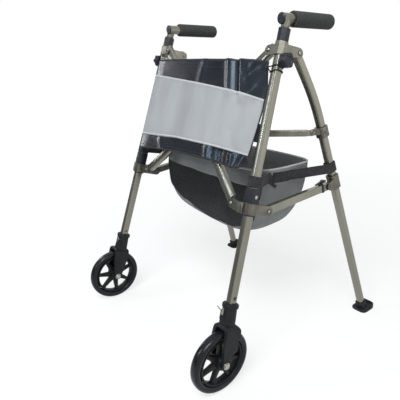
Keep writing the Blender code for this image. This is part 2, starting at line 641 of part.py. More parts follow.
# Collars of the rear leg: frames with X outward, Y forward from the leg, Z up along it
collar_bore = REAR_S + 2 * GAP


def on_rear(dist):
    return SIDE @ frame(bend + down * dist, X0, fore, -down) if X0.cross(fore).dot(-down) > 0 else \
        SIDE @ frame(bend + down * dist, X0, -fore, -down)


UPPER = on_rear(UPPER_AT)
LOWERC = on_rear(LOWER_AT)
sgn = 1.0 if X0.cross(fore).dot(-down) > 0 else -1.0   # +Y of these frames points rearward when -1

# Strut directions, open and folded, in the side frame: its inner end lies behind the arm of its side
strut_at = Vector((REAR_E, STRUT_V, STRUT_W))
strut_shut = Vector((-0.0808, 0.2788, -0.9558)).normalized()


def strut_frame(offset):
    tip = BRACE @ Vector((STRUT_TIP_X, offset + ARM_D / 2 + STRUT_CLEAR, CENTRE_M - STRUT_TIP_M))
    open_dir = (SIDE.inverted() @ tip - strut_at).normalized()
    axis = open_dir.cross(strut_shut).normalized()
    angle = math.degrees(open_dir.angle(strut_shut))
    return SIDE @ frame(strut_at, open_dir, axis.cross(open_dir), axis), (SIDE.inverted() @ tip - strut_at).length, angle


STRUT_L_AT, strut_len_l, strut_turn_l = strut_frame(-ARM_OFFSET)
STRUT_R_AT, strut_len_r, strut_turn_r = strut_frame(ARM_OFFSET)
body("strut_l", STRUT_L_AT)
body("strut_r", FLIP @ STRUT_R_AT @ FLIP)

k_in = STRUT_EYE_T / 2 + RUN


def convex(name, points):
    bm = bmesh.new()
    for p in points:
        bm.verts.new(p)
    out = bmesh.ops.convex_hull(bm, input=bm.verts)
    bmesh.ops.delete(bm, geom=[g for g in out["geom_interior"] if isinstance(g, bmesh.types.BMVert)], context='VERTS')
    bmesh.ops.recalc_face_normals(bm, faces=bm.faces)
    me = bpy.data.meshes.new(name)
    bm.to_mesh(me)
    bm.free()
    ob = bpy.data.objects.new(name, me)
    parts.objects.link(ob)
    return ob


def make_upper(strut):
    # collar with a knuckle that carries the strut's pin
    col = extrude("upper_collar", [rounded(COLLAR_S, COLLAR_S, 0.006)], -UPPER_H / 2, UPPER_H / 2, UPPER, 0.0005)
    pts = [strut @ Vector((STRUT_EYE_R * math.cos(a), STRUT_EYE_R * math.sin(a), z))
           for z in (-k_in, -k_in - 0.007) for a in np.linspace(0, 2 * math.pi, 11)[:-1]]
    pts += [UPPER @ Vector((x, sgn * (COLLAR_S / 2 - 0.004), z)) for x in (-0.0095, 0.0075) for z in (0.0125, -0.004)]
    join(col, convex("knuckle", pts))
    cut(col, extrude("c", [rounded(collar_bore, collar_bore, REAR_R)], -0.05, 0.05, UPPER))
    join(col, turned("pin", [(0, -k_in - 0.003), (PIN_R, -k_in - 0.003), (PIN_R, k_in), (HEAD_R, k_in),
                             (HEAD_R, k_in + 0.0008), (HEAD_R * 0.6, k_in + HEAD_H), (0, k_in + HEAD_H)], strut, 10))
    out = COLLAR_S / 2
    at = UPPER @ frame(Vector((0, 0, 0)), Vector((0, 1, 0)), Vector((0, 0, 1)), X0)
    join(col, turned("rv", [(0, out - 0.001), (0.005, out - 0.001), (0.005, out + 0.0008), (0.003, out + 0.0022),
                            (0, out + 0.0022)], at, 10))
    return col


pair(make_upper(STRUT_L_AT), make_upper(STRUT_R_AT), "upper_collar", "rear", UPPER, "cast")

low_collar = extrude("lower_collar", [rounded(COLLAR_S, COLLAR_S, 0.006)], -LOWER_H / 2, LOWER_H / 2, LOWERC, 0.0005)
end_pt = LOWERC.inverted() @ SIDE @ Vector((REAR_E, BRACE_END_V, BRACE_END_W))
plate_in = BRACE_D / 2 + BRACE_PLAY
LOW_FLAT = LOWERC @ frame(Vector((0, 0, 0)), Vector((0, 1, 0)), Vector((0, 0, 1)), X0)
join(low_collar, ear("lug", end_pt.y, end_pt.z, -LOWER_H / 2 + 0.004, LOWER_H / 2 - 0.003, sgn * 0.004,
                     plate_in, plate_in + EAR_T, LOW_FLAT, 0.0105))
cut(low_collar, extrude("c", [rounded(collar_bore, collar_bore, REAR_R)], -0.05, 0.05, LOWERC))
join(low_collar, turned("rv", [(0, plate_in + EAR_T - 0.001), (HEAD_R, plate_in + EAR_T - 0.001),
                               (HEAD_R, plate_in + EAR_T + 0.0007), (HEAD_R * 0.6, plate_in + EAR_T + HEAD_H),
                               (0, plate_in + EAR_T + HEAD_H)],
                        LOW_FLAT @ Matrix.Translation((end_pt.y, end_pt.z, 0)), 12))
both(low_collar, "lower_collar", "rear", LOWERC, "cast")

# Side brace: bar from the slider's rear lug to the lower collar's plate
b0 = Vector((REAR_E, BRACE_V, BRACE_W))
b1 = Vector((REAR_E, BRACE_END_V, BRACE_END_W))
bd = (b1 - b0).normalized()
BAR = SIDE @ frame(b0, bd, Vector((0, -bd.z, bd.y)), X0)
bar_len = (b1 - b0).length
BRACE_AT = BAR
side_brace = extrude("side_brace", [hull(ring(BRACE_H / 2, 16) + ring(BRACE_H / 2, 16, bar_len, 0))],
                     -BRACE_D / 2, BRACE_D / 2, BAR, 0.0012)
cut(side_brace, rod("c", BAR @ Vector((0, 0, -0.03)), BAR @ Vector((0, 0, 0.03)), PIN_R + GAP, 12))
both(side_brace, "side_brace", "brace", BAR, "frame")

# Latch: band round the bar and a wedge lever on top of it
band_at, band_w, band_t = bar_len - 0.0240, 0.0060, 0.0012
band_prof = rounded(BRACE_H + 2 * (GAP + band_t), BRACE_D + 2 * (GAP + band_t), 0.003, 2)
band_hole = rounded(BRACE_H + 2 * GAP, BRACE_D + 2 * GAP, 0.0015, 2)
BAND = BAR @ frame(Vector((0, 0, 0)), Vector((0, 1, 0)), Vector((0, 0, 1)), X0)
band = extrude("latch_band", [band_prof, band_hole], band_at - band_w / 2, band_at + band_w / 2, BAND)
hinge_y = BRACE_H / 2 + GAP + band_t + 0.0028
LATCH = BAR @ Matrix.Translation((band_at, hinge_y, 0))
for z in (-0.0055, 0.0035):
    join(band, block("lug", band_at - 0.0026, band_at + 0.0026, BRACE_H / 2 + GAP + 0.0006, hinge_y + 0.0022, z,
                     z + 0.002, BAR))
both(band, "latch_band", "brace", BAR, "black_plastic")
body("latch_l", LATCH)
body("latch_r", FLIP @ LATCH @ FLIP)
wedge = hull([(-0.0190, -0.0010), (-0.0185, 0.0010), (-0.002, 0.0042), (0.0125, 0.0060), (0.0135, 0.0045),
              (0.0100, -0.0010)])
lever = extrude("brace_latch", [wedge], -0.0030, 0.0030, LATCH, 0.0005)
lever2 = extrude("pad", [hull([(0.0040, 0.0020), (0.0040, 0.0046), (0.0125, 0.0060), (0.0135, 0.0045),
                               (0.0110, 0.0010)])], -0.0070, 0.0070, LATCH, 0.0005)
join(lever, lever2)
both(lever, "brace_latch", "latch", LATCH, "black_plastic")

# Strut: bar with an eye at the collar and a flat tongue at its inner end
def make_strut(strut, length):
    bar = extrude("strut", [hull(ring(STRUT_EYE_R, 16) + [(0.020, -STRUT_EYE_R), (0.020, STRUT_EYE_R)])],
                  -STRUT_EYE_T / 2, STRUT_EYE_T / 2, strut)
    cut(bar, rod("c", strut @ Vector((0, 0, -0.02)), strut @ Vector((0, 0, 0.02)), PIN_R + GAP, 12))
    beam = strut @ frame(Vector((0, 0, 0)), Vector((0, 1, 0)), Vector((0, 0, 1)), X0)
    join(bar, extrude("beam", [rounded(STRUT_H, STRUT_D, STRUT_R, 2)], STRUT_EYE_R + 0.004, length - 0.022, beam),
         extrude("tongue", [hull(ring(STRUT_EYE_R, 16, length - STRUT_EYE_R, 0)
                                 + [(length - 0.034, -STRUT_EYE_R), (length - 0.034, STRUT_EYE_R)])],
                 -0.002, 0.002, strut))
    return bar


strut_l = make_strut(STRUT_L_AT, strut_len_l)
strut_r = make_strut(STRUT_R_AT, strut_len_r)
strut_r.data.transform(FLIP)
strut_r.data.flip_normals()
strut_l.name, strut_r.name = "strut_l", "strut_r"
seat(strut_l, "strut_l", STRUT_L_AT, "cast")
seat(strut_r, "strut_r", FLIP @ STRUT_R_AT @ FLIP, "cast")

# Foot: rubber shoe with a flat sole round the rear leg's end
toe = SIDE @ foot_end
sole_mid = SIDE @ (foot_end + down * (toe.z / -(SIDE.to_3x3() @ down).z - SOLE_T * 0.5))
FOOT = Matrix.Translation((sole_mid.x, sole_mid.y + 0.004, 0))
foot = extrude("foot", [rounded(FOOT_W, FOOT_L, 0.014, 4)], 0, SOLE_T, FOOT, 0.0012)
rim = extrude("rim", [rounded(FOOT_W, FOOT_L, 0.014, 4), rounded(FOOT_W - 0.008, FOOT_L - 0.008, 0.010, 4)],
              SOLE_T - 0.001, FOOT_WALL, FOOT)
cut(rim, block("c", -0.05, 0.05, -0.05, 0.002, -0.02, 0.05, FOOT))
END = on_rear((foot_end - bend).length)
boot = extrude("boot", [rounded(REAR_S + 0.007, REAR_S + 0.007, 0.006)], -0.030, 0.016, END)
trim = block("c", -0.08, 0.08, -0.08, 0.08, 0.003, 0.08, FOOT)
common(boot, trim)
join(foot, rim, boot)
cut(foot, extrude("c", [rounded(collar_bore, collar_bore, REAR_R)], -GAP, 0.08, END))
both(foot, "foot", "rear", FOOT, "rubber")

# Fork: collar, stem, crown and cheeks
half = WHEEL_HUB_W / 2 + 0.0006 + CHEEK_T
crown_low = WHEEL_R + 0.0045
crown_top = crown_low + CROWN_T
outer, r_out, r_in = [], 0.014, 0.008
low = -CHEEK_END_R - 0.002
arch = [(-half, low), (-half, crown_top - r_out)]
arch += [(-half + r_out - r_out * math.cos(math.radians(a)), crown_top - r_out + r_out * math.sin(math.radians(a)))
         for a in (30, 60, 90)]
arch += [(-x, y) for x, y in arch[::-1]]
inner = half - CHEEK_T
arch += [(inner, low), (inner, crown_low - r_in)]
arch += [(inner - r_in + r_in * math.cos(math.radians(a)), crown_low - r_in + r_in * math.sin(math.radians(a)))
         for a in (30, 60, 90)]
arch += [(-inner + r_in - r_in * math.cos(math.radians(a)), crown_low - r_in + r_in * math.sin(math.radians(a)))
         for a in (90, 60, 30)]
arch += [(-inner, crown_low - r_in), (-inner, low)]
ARCH = FORK @ frame(Vector((0, 0, 0)), X0, Vector((0, 0, 1)), Vector((0, -1, 0)))
CHEEK = FORK @ frame(Vector((0, 0, 0)), Vector((0, 1, 0)), Vector((0, 0, 1)), X0)
fork = extrude("fork", [arch], -CHEEK_D / 2, CHEEK_D / 2, ARCH)
profile = hull(ring(CHEEK_END_R, 18) + [(-CHEEK_D / 2, 0.058), (CHEEK_D / 2, 0.058), (-CHEEK_D / 2, crown_top - 0.004),
                                        (CHEEK_D / 2, crown_top - 0.004), (-CHEEK_D / 2 + 0.005, crown_top + 0.001),
                                        (CHEEK_D / 2 - 0.005, crown_top + 0.001)])
common(fork, extrude("side", [profile], -half - 0.01, half + 0.01, CHEEK))
stem_low = AXLE_AT + crown_top - 0.004
join(fork, turned("stem", [(0, stem_low), (FORK_STEM_R + 0.0025, stem_low), (FORK_STEM_R, FORK_RING_LOW),
                           (FORK_RING_R, FORK_RING_LOW + 0.0010), (FORK_RING_R, FORK_RING_TOP - 0.0020),
                           (FORK_RING_R - 0.0020, FORK_RING_TOP - GAP), (0, FORK_RING_TOP - GAP)], LEG, 20),
     extrude("spigot", [rounded(bore_w - 2 * GAP, bore_d - 2 * GAP, 0.003)], FORK_RING_TOP - 0.004,
             FORK_RING_TOP + 0.030, LEG))
cut(fork, rod("c", LEG @ Vector((-0.03, 0, LEG_HOLE_AT)), LEG @ Vector((0.03, 0, LEG_HOLE_AT)), LEG_HOLE_R, 12),
    rod("c", FORK @ Vector((-0.05, 0, 0)), FORK @ Vector((0.05, 0, 0)), AXLE_R + GAP, 14))
PIN_DIR = Vector((-0.55, -0.8352, 0)).normalized()
pin_w = FORK_RING_LOW - 0.0085
cut(fork, rod("c", LEG @ (Vector((0, 0, pin_w)) + PIN_DIR * 0.004), LEG @ (Vector((0, 0, pin_w)) + PIN_DIR * 0.03),
              WIRE_R + GAP, 10))
both(fork, "fork", "leg", LEG, "fork_plastic")

# Snap pin: shank in the stem, with a bent wire pull
w0 = Vector((0, 0, pin_w))
side_dir = Vector((PIN_DIR.y, -PIN_DIR.x, 0))
wire = swept("fork_pin", [LEG @ p for p in (
    w0 + PIN_DIR * 0.0125, w0 + PIN_DIR * (FORK_STEM_R + 0.0040),
    w0 + PIN_DIR * (FORK_STEM_R + 0.0058) + Vector((0, 0, 0.0012)),
    w0 + PIN_DIR * (FORK_STEM_R + 0.0125) + Vector((0, 0, 0.0075)))], WIRE_R, 2)
PIN_AT = LEG @ Matrix.Translation(w0 + PIN_DIR * FORK_STEM_R)
body("pin_l", PIN_AT)
body("pin_r", FLIP @ PIN_AT @ FLIP)
both(wire, "fork_pin", "pin", PIN_AT, "wire")

# Wheel with seven spokes, and its tyre
wheel = turned("wheel", [(AXLE_R + GAP, -WHEEL_HUB_W / 2), (WHEEL_HUB_R, -WHEEL_HUB_W / 2),
                         (WHEEL_HUB_R, WHEEL_HUB_W / 2), (AXLE_R + GAP, WHEEL_HUB_W / 2)], CHEEK, 16)
tyre_seat = TYRE_IN - GAP
rim = turned("rim", [(RIM_IN, -RIM_W / 2), (tyre_seat, -RIM_W / 2), (tyre_seat, RIM_W / 2), (RIM_IN, RIM_W / 2)],
             CHEEK, 28)
spokes = []
for i in range(SPOKES):
    a = 2 * math.pi * (i + 0.5) / SPOKES
    c, s = math.cos(a), math.sin(a)
    quad = [(WHEEL_HUB_R - 0.004, -SPOKE_W0 / 2), (RIM_IN + 0.003, -SPOKE_W1 / 2), (RIM_IN + 0.003, SPOKE_W1 / 2),
            (WHEEL_HUB_R - 0.004, SPOKE_W0 / 2)]
    spokes.append(extrude("spoke", [[(x * c - y * s, x * s + y * c) for x, y in quad]], -SPOKE_T / 2, SPOKE_T / 2,
                          CHEEK))
join(wheel, rim, *spokes)
both(wheel, "wheel", "wheel", FORK, "black_plastic")
tw = TYRE_W / 2
tyre = turned("tyre", [(TYRE_IN, -tw + 0.002), (TYRE_IN + TYRE_H * 0.34, -tw), (WHEEL_R - TYRE_H * 0.42, -tw + 0.0010),
                       (WHEEL_R - 0.0022, -tw + 0.0055), (WHEEL_R, -0.0045), (WHEEL_R, 0.0045),
                       (WHEEL_R - 0.0022, tw - 0.0055), (WHEEL_R - TYRE_H * 0.42, tw - 0.0010),
                       (TYRE_IN + TYRE_H * 0.34, tw),
                       (TYRE_IN, tw - 0.002)], CHEEK, 28)
both(tyre, "tyre", "wheel", FORK, "rubber")
axle = turned("axle_bolt", [(0, -half - GAP - AXLE_HEAD_T), (AXLE_HEAD_R * 0.8, -half - GAP - AXLE_HEAD_T),
                            (AXLE_HEAD_R, -half - GAP - AXLE_HEAD_T * 0.5), (AXLE_HEAD_R, -half - GAP),
                            (AXLE_R, -half - GAP), (AXLE_R, half + GAP), (AXLE_HEAD_R, half + GAP),
                            (AXLE_HEAD_R, half + GAP + AXLE_HEAD_T * 0.6),
                            (AXLE_HEAD_R * 0.7, half + GAP + AXLE_HEAD_T), (0, half + GAP + AXLE_HEAD_T)], CHEEK, 14)
both(axle, "axle_bolt", "leg", FORK, "rivet")


# Arms: top of one side to the slider of the other, crossing at the centre pin
def make_arm(name, offset, top, low):
    t, l = Vector((top.x, top.z)), Vector((low.x, low.z))
    d = (l - t).normalized()
    q = Vector((-d.y, d.x))
    m = BRACE @ frame(Vector((t.x, offset, t.y)), Vector((d.x, 0, d.y)), Vector((q.x, 0, q.y)),
                      Vector((d.x, 0, d.y)).cross(Vector((q.x, 0, q.y))))
    along = m @ frame(Vector((0, 0, 0)), Vector((0, 1, 0)), Vector((0, 0, 1)), X0)
    n = (l - t).length
    inside = rounded(ARM_W - 2 * TUBE_WALL, ARM_D - 2 * TUBE_WALL, ARM_R - TUBE_WALL, 1)
    arm = extrude(name, [rounded(ARM_W, ARM_D, ARM_R, 2), inside], -ARM_END, n - 0.013, along)
    mid = (Vector((0, CENTRE_M)) - t).length
    cut(arm, rod("c", m @ Vector((0, 0, -0.02)), m @ Vector((0, 0, 0.02)), PIN_R + GAP, 12),
        rod("c", m @ Vector((mid, 0, -0.02)), m @ Vector((mid, 0, 0.02)), CENTRE_PIN_R + GAP, 14))
    end = extrude(name + "_cap", [hull(ring(ARM_W / 2, 20, n, 0) + [(n - 0.0127, -ARM_W / 2), (n - 0.0127, ARM_W / 2)])],
                  -ARM_D / 2, ARM_D / 2, m, 0.0010)
    cut(end, rod("c", m @ Vector((n, 0, -0.02)), m @ Vector((n, 0, 0.02)), PIN_R + GAP, 12))
    return arm, end


AT = frame(CENTRE, X0, N0, M0)
mirror = lambda p: Vector((-p.x, p.y, p.z))
for name, offset, top, low in (("arm_a", ARM_OFFSET, top_b, mirror(low_b)), ("arm_b", -ARM_OFFSET, mirror(top_b), low_b)):
    arm, end = make_arm(name, offset, top, low)
    seat(arm, name, AT, "frame", 50)
    seat(end, name, AT, "black_plastic")
back = ARM_OFFSET + ARM_D / 2 + RUN
PINF = AT @ frame(Vector((0, 0, 0)), X0, Vector((0, 0, 1)), Vector((0, -1, 0)))
spacer = ARM_OFFSET - ARM_D / 2 - RUN
pin = turned("centre_pin", [(0, -back - 0.003), (CENTRE_HEAD_R - 0.002, -back - 0.003), (CENTRE_HEAD_R, -back - 0.0015),
                            (CENTRE_HEAD_R, -back), (CENTRE_PIN_R, -back), (CENTRE_PIN_R, -spacer),
                            (CENTRE_HEAD_R, -spacer), (CENTRE_HEAD_R, spacer), (CENTRE_PIN_R, spacer),
                            (CENTRE_PIN_R, back), (CENTRE_HEAD_R, back), (CENTRE_HEAD_R, back + 0.0015),
                            (CENTRE_HEAD_R - 0.002, back + 0.003), (0, back + 0.003)], PINF, 12)
seat(pin, "centre", AT, "rivet")


# Front panel: cloth between the legs, in front of the arms, with soft upright folds
def panel_sheet(name, cols, rows):
    bm = bmesh.new()
    grid = []
    for j in range(rows + 1):
        t = j / rows
        row = []
        for i in range(cols + 1):
            u = -1 + 2 * i / cols
            m = PANEL_TOP + (PANEL_LOW - PANEL_TOP) * t
            edge = HUB_X - m * math.tan(SPLAY) - PANEL_INSET
            sag = 0.004 * (1 - u * u) * (1 - t)
            lift = 0.010 * max(0.0, abs(u) - 0.86) / 0.14 * t
            wave = 0.0022 * math.sin(7.5 * u + 1.0) * (1 - t) ** 2 + 0.0012 * math.sin(11 * u) * t * t
            v = PANEL_FRONT - 0.003 * (1 - u * u) - wave * (1 - u ** 8)
            v += (PANEL_EDGE - PANEL_FRONT) * max(0.0, (abs(u) - 0.80) / 0.20) ** 1.5
            row.append(bm.verts.new(BRACE @ Vector((edge * u, v, m - sag + lift))))
        grid.append(row)
    for a, b in zip(grid, grid[1:]):
        for i in range(cols):
            bm.faces.new((a[i], b[i], b[i + 1], a[i + 1]))
    me = bpy.data.meshes.new(name)
    bm.to_mesh(me)
    bm.free()
    ob = bpy.data.objects.new(name, me)
    parts.objects.link(ob)
    mod = ob.modifiers.new("Solidify", 'SOLIDIFY')
    mod.thickness = PANEL_T
    mod.offset = 1.0
    mod.use_even_offset = True
    return to_mesh(ob, Matrix.Identity(4), name)


seat(panel_sheet("panel", 26, 8), "cloth", AT, "cloth", 60)

# Pouch: open bag behind the arms; levels of twelve points round, subdivided and thickened inwards
POUCH_LEVELS = (
    # height, half width front / mid / rear, y front mid / front corner / side / rear corner / rear mid
    (0.4700, 0.196, 0.214, 0.212, -0.043, -0.033, 0.055, 0.148, 0.158),
    (0.4400, 0.198, 0.216, 0.212, -0.049, -0.039, 0.053, 0.149, 0.160),
    (0.3950, 0.192, 0.209, 0.203, -0.056, -0.044, 0.048, 0.142, 0.154),
    (0.3480, 0.176, 0.192, 0.186, -0.058, -0.042, 0.044, 0.128, 0.141),
    (0.3080, 0.146, 0.166, 0.158, -0.050, -0.034, 0.040, 0.108, 0.122),
)
bm = bmesh.new()
rings = []
for z, wf, wm, wr, yf, yfc, ys, yrc, yr in POUCH_LEVELS:
    pts = [(0, yf), (wf * 0.62, yf + 0.002), (wf, yfc), (wm, (yfc + ys) / 2), (wm, ys), ((wm + wr) / 2, (ys + yrc) / 2),
           (wr, yrc), (wr * 0.60, yrc + (yr - yrc) * 0.72)]
    pts = pts + [(0, yr)] + [(-x, y) for x, y in pts[:0:-1]]
    hang = (0.4700 - z) / (0.4700 - 0.3080)
    rings.append([bm.verts.new((x, HUB_Y + y, z - POUCH_TILT * hang * x)) for x, y in pts])
k = len(rings[0])
for a, b in zip(rings, rings[1:]):
    for i in range(k):
        bm.faces.new((a[i], b[i], b[(i + 1) % k], a[(i + 1) % k]))
last = rings[-1]
n_half = k // 2
for i in range(n_half - 1):
    a, b = last[i], last[i + 1]
    c, d = last[(k - i - 1) % k], last[(k - i) % k]
    if i == 0:
        bm.faces.new((last[0], last[k - 1], last[1]))
    else:
        bm.faces.new((a, d, c, b))
bm.faces.new((last[n_half - 1], last[n_half + 1], last[n_half]))
bmesh.ops.recalc_face_normals(bm, faces=bm.faces)
me = bpy.data.meshes.new("pouch")
bm.to_mesh(me)
bm.free()
pouch = bpy.data.objects.new("pouch", me)
parts.objects.link(pouch)
sub = pouch.modifiers.new("Subdivision", 'SUBSURF')
sub.levels = sub.render_levels = 1
sol = pouch.modifiers.new("Solidify", 'SOLIDIFY')
sol.thickness = POUCH_T
sol.offset = -1.0
pouch = to_mesh(pouch, Matrix.Identity(4), "pouch")
wall = BVHTree.FromPolygons([v.co for v in pouch.data.vertices], [p.vertices for p in pouch.data.polygons])
seat(pouch, "cloth", AT, "mesh_cloth", 60)


def ring_path(m, half_x, half_y, z, a0, a1, n):
    out = []
    for i in range(n + 1):
        a = math.radians(a0 + (a1 - a0) * i / n)
        ca, sa = math.cos(a), math.sin(a)
        kk = (abs(ca) ** 6 + abs(sa) ** 6) ** (-1 / 6)
        out.append(m @ Vector((half_x * ca * kk, half_y * sa * kk, z)))
    return out


loose = 0.0009 + STRAP_T / 2
front_turn = ring_path(LEG, LEG_W / 2 + loose, LEG_D / 2 + loose, -0.2745, 100, 400, 18)
REAR_RING = on_rear(0.170)
rear_turn = ring_path(REAR_RING, REAR_S / 2 + loose, REAR_S / 2 + loose, 0.0, -40, 260, 18)


# between the legs the strap comes in to the pouch's side wall and lies along it
SHARES = [0.30 + 0.04 * i for i in range(8)]


def on_wall(share):
    p = front_turn[-1].lerp(rear_turn[0], share) + Vector((0, 0, -0.0400 * share * (1 - share)))
    hits = [wall.ray_cast(Vector((p.x + 0.05, p.y, p.z + dz)), -X0)[0] for dz in (-0.5 * STRAP_H, 0, 0.5 * STRAP_H)]
    return Vector((max((h.x + 2 * GAP + STRAP_T / 2 for h in hits if h), default=p.x - 0.03), p.y, p.z))


spots = [(t, on_wall(t)) for t in SHARES]


def tight(t):
    """Largest x at share t of all straight lines between two of the spots."""
    lines = [(a, b) for a in spots for b in spots if a[0] < t < b[0]]
    far = [a[1].x + (b[1].x - a[1].x) * (t - a[0]) / (b[0] - a[0]) for a, b in lines]
    return max(far + [q.x for u, q in spots if u == t])


mids = [Vector((tight(t), q.y, q.z)) for t, q in spots]
path = front_turn + mids + rear_turn
rear_up = SIDE.to_3x3() @ -down
ups = [UP] * len(front_turn) + [Vector((0, *UP.lerp(rear_up, t).yz)).normalized() for t in SHARES] \
    + [rear_up] * len(rear_turn)
sections = []
for i, p in enumerate(path):
    d = (path[min(i + 1, len(path) - 1)] - path[max(i - 1, 0)]).normalized()
    u = (ups[i] - d * ups[i].dot(d)).normalized()
    w = d.cross(u)
    sections.append([p + u * a * STRAP_H / 2 + w * b * STRAP_T / 2 for a, b in ((-1, -1), (1, -1), (1, 1), (-1, 1))])
left = loft("side_strap", sections)
me = left.data.copy()
me.transform(FLIP)
me.flip_normals()
right = bpy.data.objects.new("side_strap_r", me)
parts.objects.link(right)
left.name = "side_strap_l"
seat(left, "leg_l", LEG, "webbing", 60)
seat(right, "leg_r", FLIP @ LEG @ FLIP, "webbing", 60)
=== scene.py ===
import json
import math

import bmesh
import bpy
import numpy as np
from mathutils import Matrix, Vector
from mathutils.bvhtree import BVHTree

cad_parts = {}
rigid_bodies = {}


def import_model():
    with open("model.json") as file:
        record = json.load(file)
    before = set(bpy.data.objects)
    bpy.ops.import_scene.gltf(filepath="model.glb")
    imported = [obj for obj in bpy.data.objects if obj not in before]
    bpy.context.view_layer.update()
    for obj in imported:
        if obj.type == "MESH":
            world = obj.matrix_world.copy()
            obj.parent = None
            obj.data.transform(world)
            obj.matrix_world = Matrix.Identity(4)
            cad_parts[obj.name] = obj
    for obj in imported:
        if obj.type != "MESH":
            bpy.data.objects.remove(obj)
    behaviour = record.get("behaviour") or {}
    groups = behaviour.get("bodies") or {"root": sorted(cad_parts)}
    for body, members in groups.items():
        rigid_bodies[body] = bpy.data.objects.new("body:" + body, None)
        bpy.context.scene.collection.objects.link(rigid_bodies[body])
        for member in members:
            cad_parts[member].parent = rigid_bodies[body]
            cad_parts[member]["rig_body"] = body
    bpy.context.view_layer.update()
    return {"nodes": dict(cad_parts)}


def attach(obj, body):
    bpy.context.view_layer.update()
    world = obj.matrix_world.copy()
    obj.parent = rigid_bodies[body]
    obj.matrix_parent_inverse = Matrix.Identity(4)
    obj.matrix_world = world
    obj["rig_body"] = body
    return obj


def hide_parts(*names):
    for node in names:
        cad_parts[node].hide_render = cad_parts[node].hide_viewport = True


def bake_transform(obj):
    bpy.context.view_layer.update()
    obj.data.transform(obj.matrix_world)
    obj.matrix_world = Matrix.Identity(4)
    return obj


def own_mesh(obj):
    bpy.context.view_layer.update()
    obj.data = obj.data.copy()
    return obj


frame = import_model()

# Camera: it stands before the walker on the user's left, a little under grip height, and looks down
# on it as the photograph does. Its lens and shift follow from the wheels, feet, hubs and legs.
view_turn, view_height, view_roll = (math.radians(a) for a in (49.376, 19.969, -0.304))
scene = bpy.context.scene
lens = bpy.data.cameras.new("photo_camera")
lens.sensor_width, lens.lens = 36.0, 36.923
lens.shift_x, lens.shift_y = -0.0888, 0.0224
lens.clip_start, lens.clip_end = 0.05, 30.0
camera = bpy.data.objects.new("photo_camera", lens)
scene.collection.objects.link(camera)
behind = Vector((math.sin(view_turn) * math.cos(view_height), -math.cos(view_turn) * math.cos(view_height),
                 math.sin(view_height)))
right = Vector((math.cos(view_turn), math.sin(view_turn), 0.0))
above = behind.cross(right)
rolled = right * math.cos(view_roll) + above * math.sin(view_roll)
camera.matrix_world = Matrix((rolled, behind.cross(rolled), behind)).transposed().to_4x4()
camera.location = (0.86451, -0.70547, 0.71429)
scene.camera = camera
scene.view_settings.view_transform = "Standard"


# Studio: a white floor under a pale room, and four lamps. Front and behind are the walker's, left and
# right the picture's. A large lamp hangs high in front, two tall narrow ones on the left and front left
# lay streaks down the tubes, and a weak wide one stands behind on the right. Camera and clear rays see
# white. Gloss rays see white too, but for a dim part of the room towards the front left.
def new_node(tree, kind, inputs=None, **settings):
    """Shader node of a kind. Its inputs, by name or number, get values or other nodes' outputs."""
    node = tree.nodes.new("ShaderNode" + kind)
    for name, setting in settings.items():
        setattr(node, name, setting)
    for socket, value in (inputs or {}).items():
        if isinstance(value, bpy.types.NodeSocket):
            tree.links.new(value, node.inputs[socket])
        else:
            node.inputs[socket].default_value = value
    return node


def maths(tree, operation, *feeds):
    """Output of a maths node."""
    return new_node(tree, "Math", dict(enumerate(feeds)), operation=operation).outputs[0]


def mapped(tree, value, low, high, first, last):
    """Runs from first to last while value runs from low to high."""
    span = {"Value": value, "From Min": low, "From Max": high, "To Min": first, "To Max": last}
    return new_node(tree, "MapRange", span).outputs["Result"]


def white_share(tree, rays, place, way, start, end):
    """1 for camera and clear rays. For gloss rays it falls from 1 at start to 0 at end along way."""
    along = new_node(tree, "VectorMath", {0: place, 1: way}, operation="DOT_PRODUCT").outputs["Value"]
    share = maths(tree, "MULTIPLY", mapped(tree, along, start, end, 1.0, 0.0), rays["Is Glossy Ray"])
    for kind in ("Is Camera Ray", "Is Transmission Ray"):
        share = maths(tree, "MAXIMUM", share, rays[kind])
    return share


def soft_lamp(name, place, aim, width, height, watts, tint):
    """Area lamp at place that faces aim."""
    data = bpy.data.lights.new(name, "AREA")
    data.shape, data.size, data.size_y = "RECTANGLE", width, height
    data.energy, data.color = watts, tint
    lamp = bpy.data.objects.new(name, data)
    scene.collection.objects.link(lamp)
    lamp.location = place
    lamp.rotation_euler = (Vector(aim) - Vector(place)).to_track_quat("-Z", "Y").to_euler()


def linked(name, mesh):
    """New object in the scene that shows this mesh."""
    piece = bpy.data.objects.new(name, mesh)
    scene.collection.objects.link(piece)
    return piece


studio = bpy.data.worlds.new("studio")
scene.world = studio
studio.use_nodes = True
sky = studio.node_tree
sky.nodes.clear()
rays = new_node(sky, "LightPath").outputs
heading = new_node(sky, "TexCoord").outputs["Generated"]
share = white_share(sky, rays, heading, (-0.78, -0.58, -0.22), 0.40, 0.80)
plain, dim = [new_node(sky, "Background", {"Color": (0.93, 0.96, 1.0, 1), "Strength": power}).outputs[0]
              for power in (0.34, 0.14)]
white = new_node(sky, "Background", {"Color": (1, 1, 1, 1), "Strength": 1.0}).outputs[0]
room = new_node(sky, "MixShader", {0: rays["Is Glossy Ray"], 1: plain, 2: dim}).outputs[0]
sky_mix = new_node(sky, "MixShader", {0: share, 1: room, 2: white}).outputs[0]
new_node(sky, "OutputWorld", {"Surface": sky_mix})

soft_lamp("window_top", (0.85, -1.35, 2.35), (0, 0, 0.45), 1.2, 1.0, 52, (0.98, 0.99, 1.0))
soft_lamp("strip_left", (-2.35, -0.62, 0.95), (0, 0, 0.55), 0.20, 1.10, 9, (1.0, 0.99, 0.98))
soft_lamp("strip_front", (-1.35, -2.25, 1.50), (0, 0, 0.60), 0.20, 0.80, 12, (0.80, 0.89, 1.0))
soft_lamp("window_right", (2.20, 0.95, 0.80), (0, 0, 0.45), 1.3, 1.3, 7, (1.0, 0.99, 0.96))

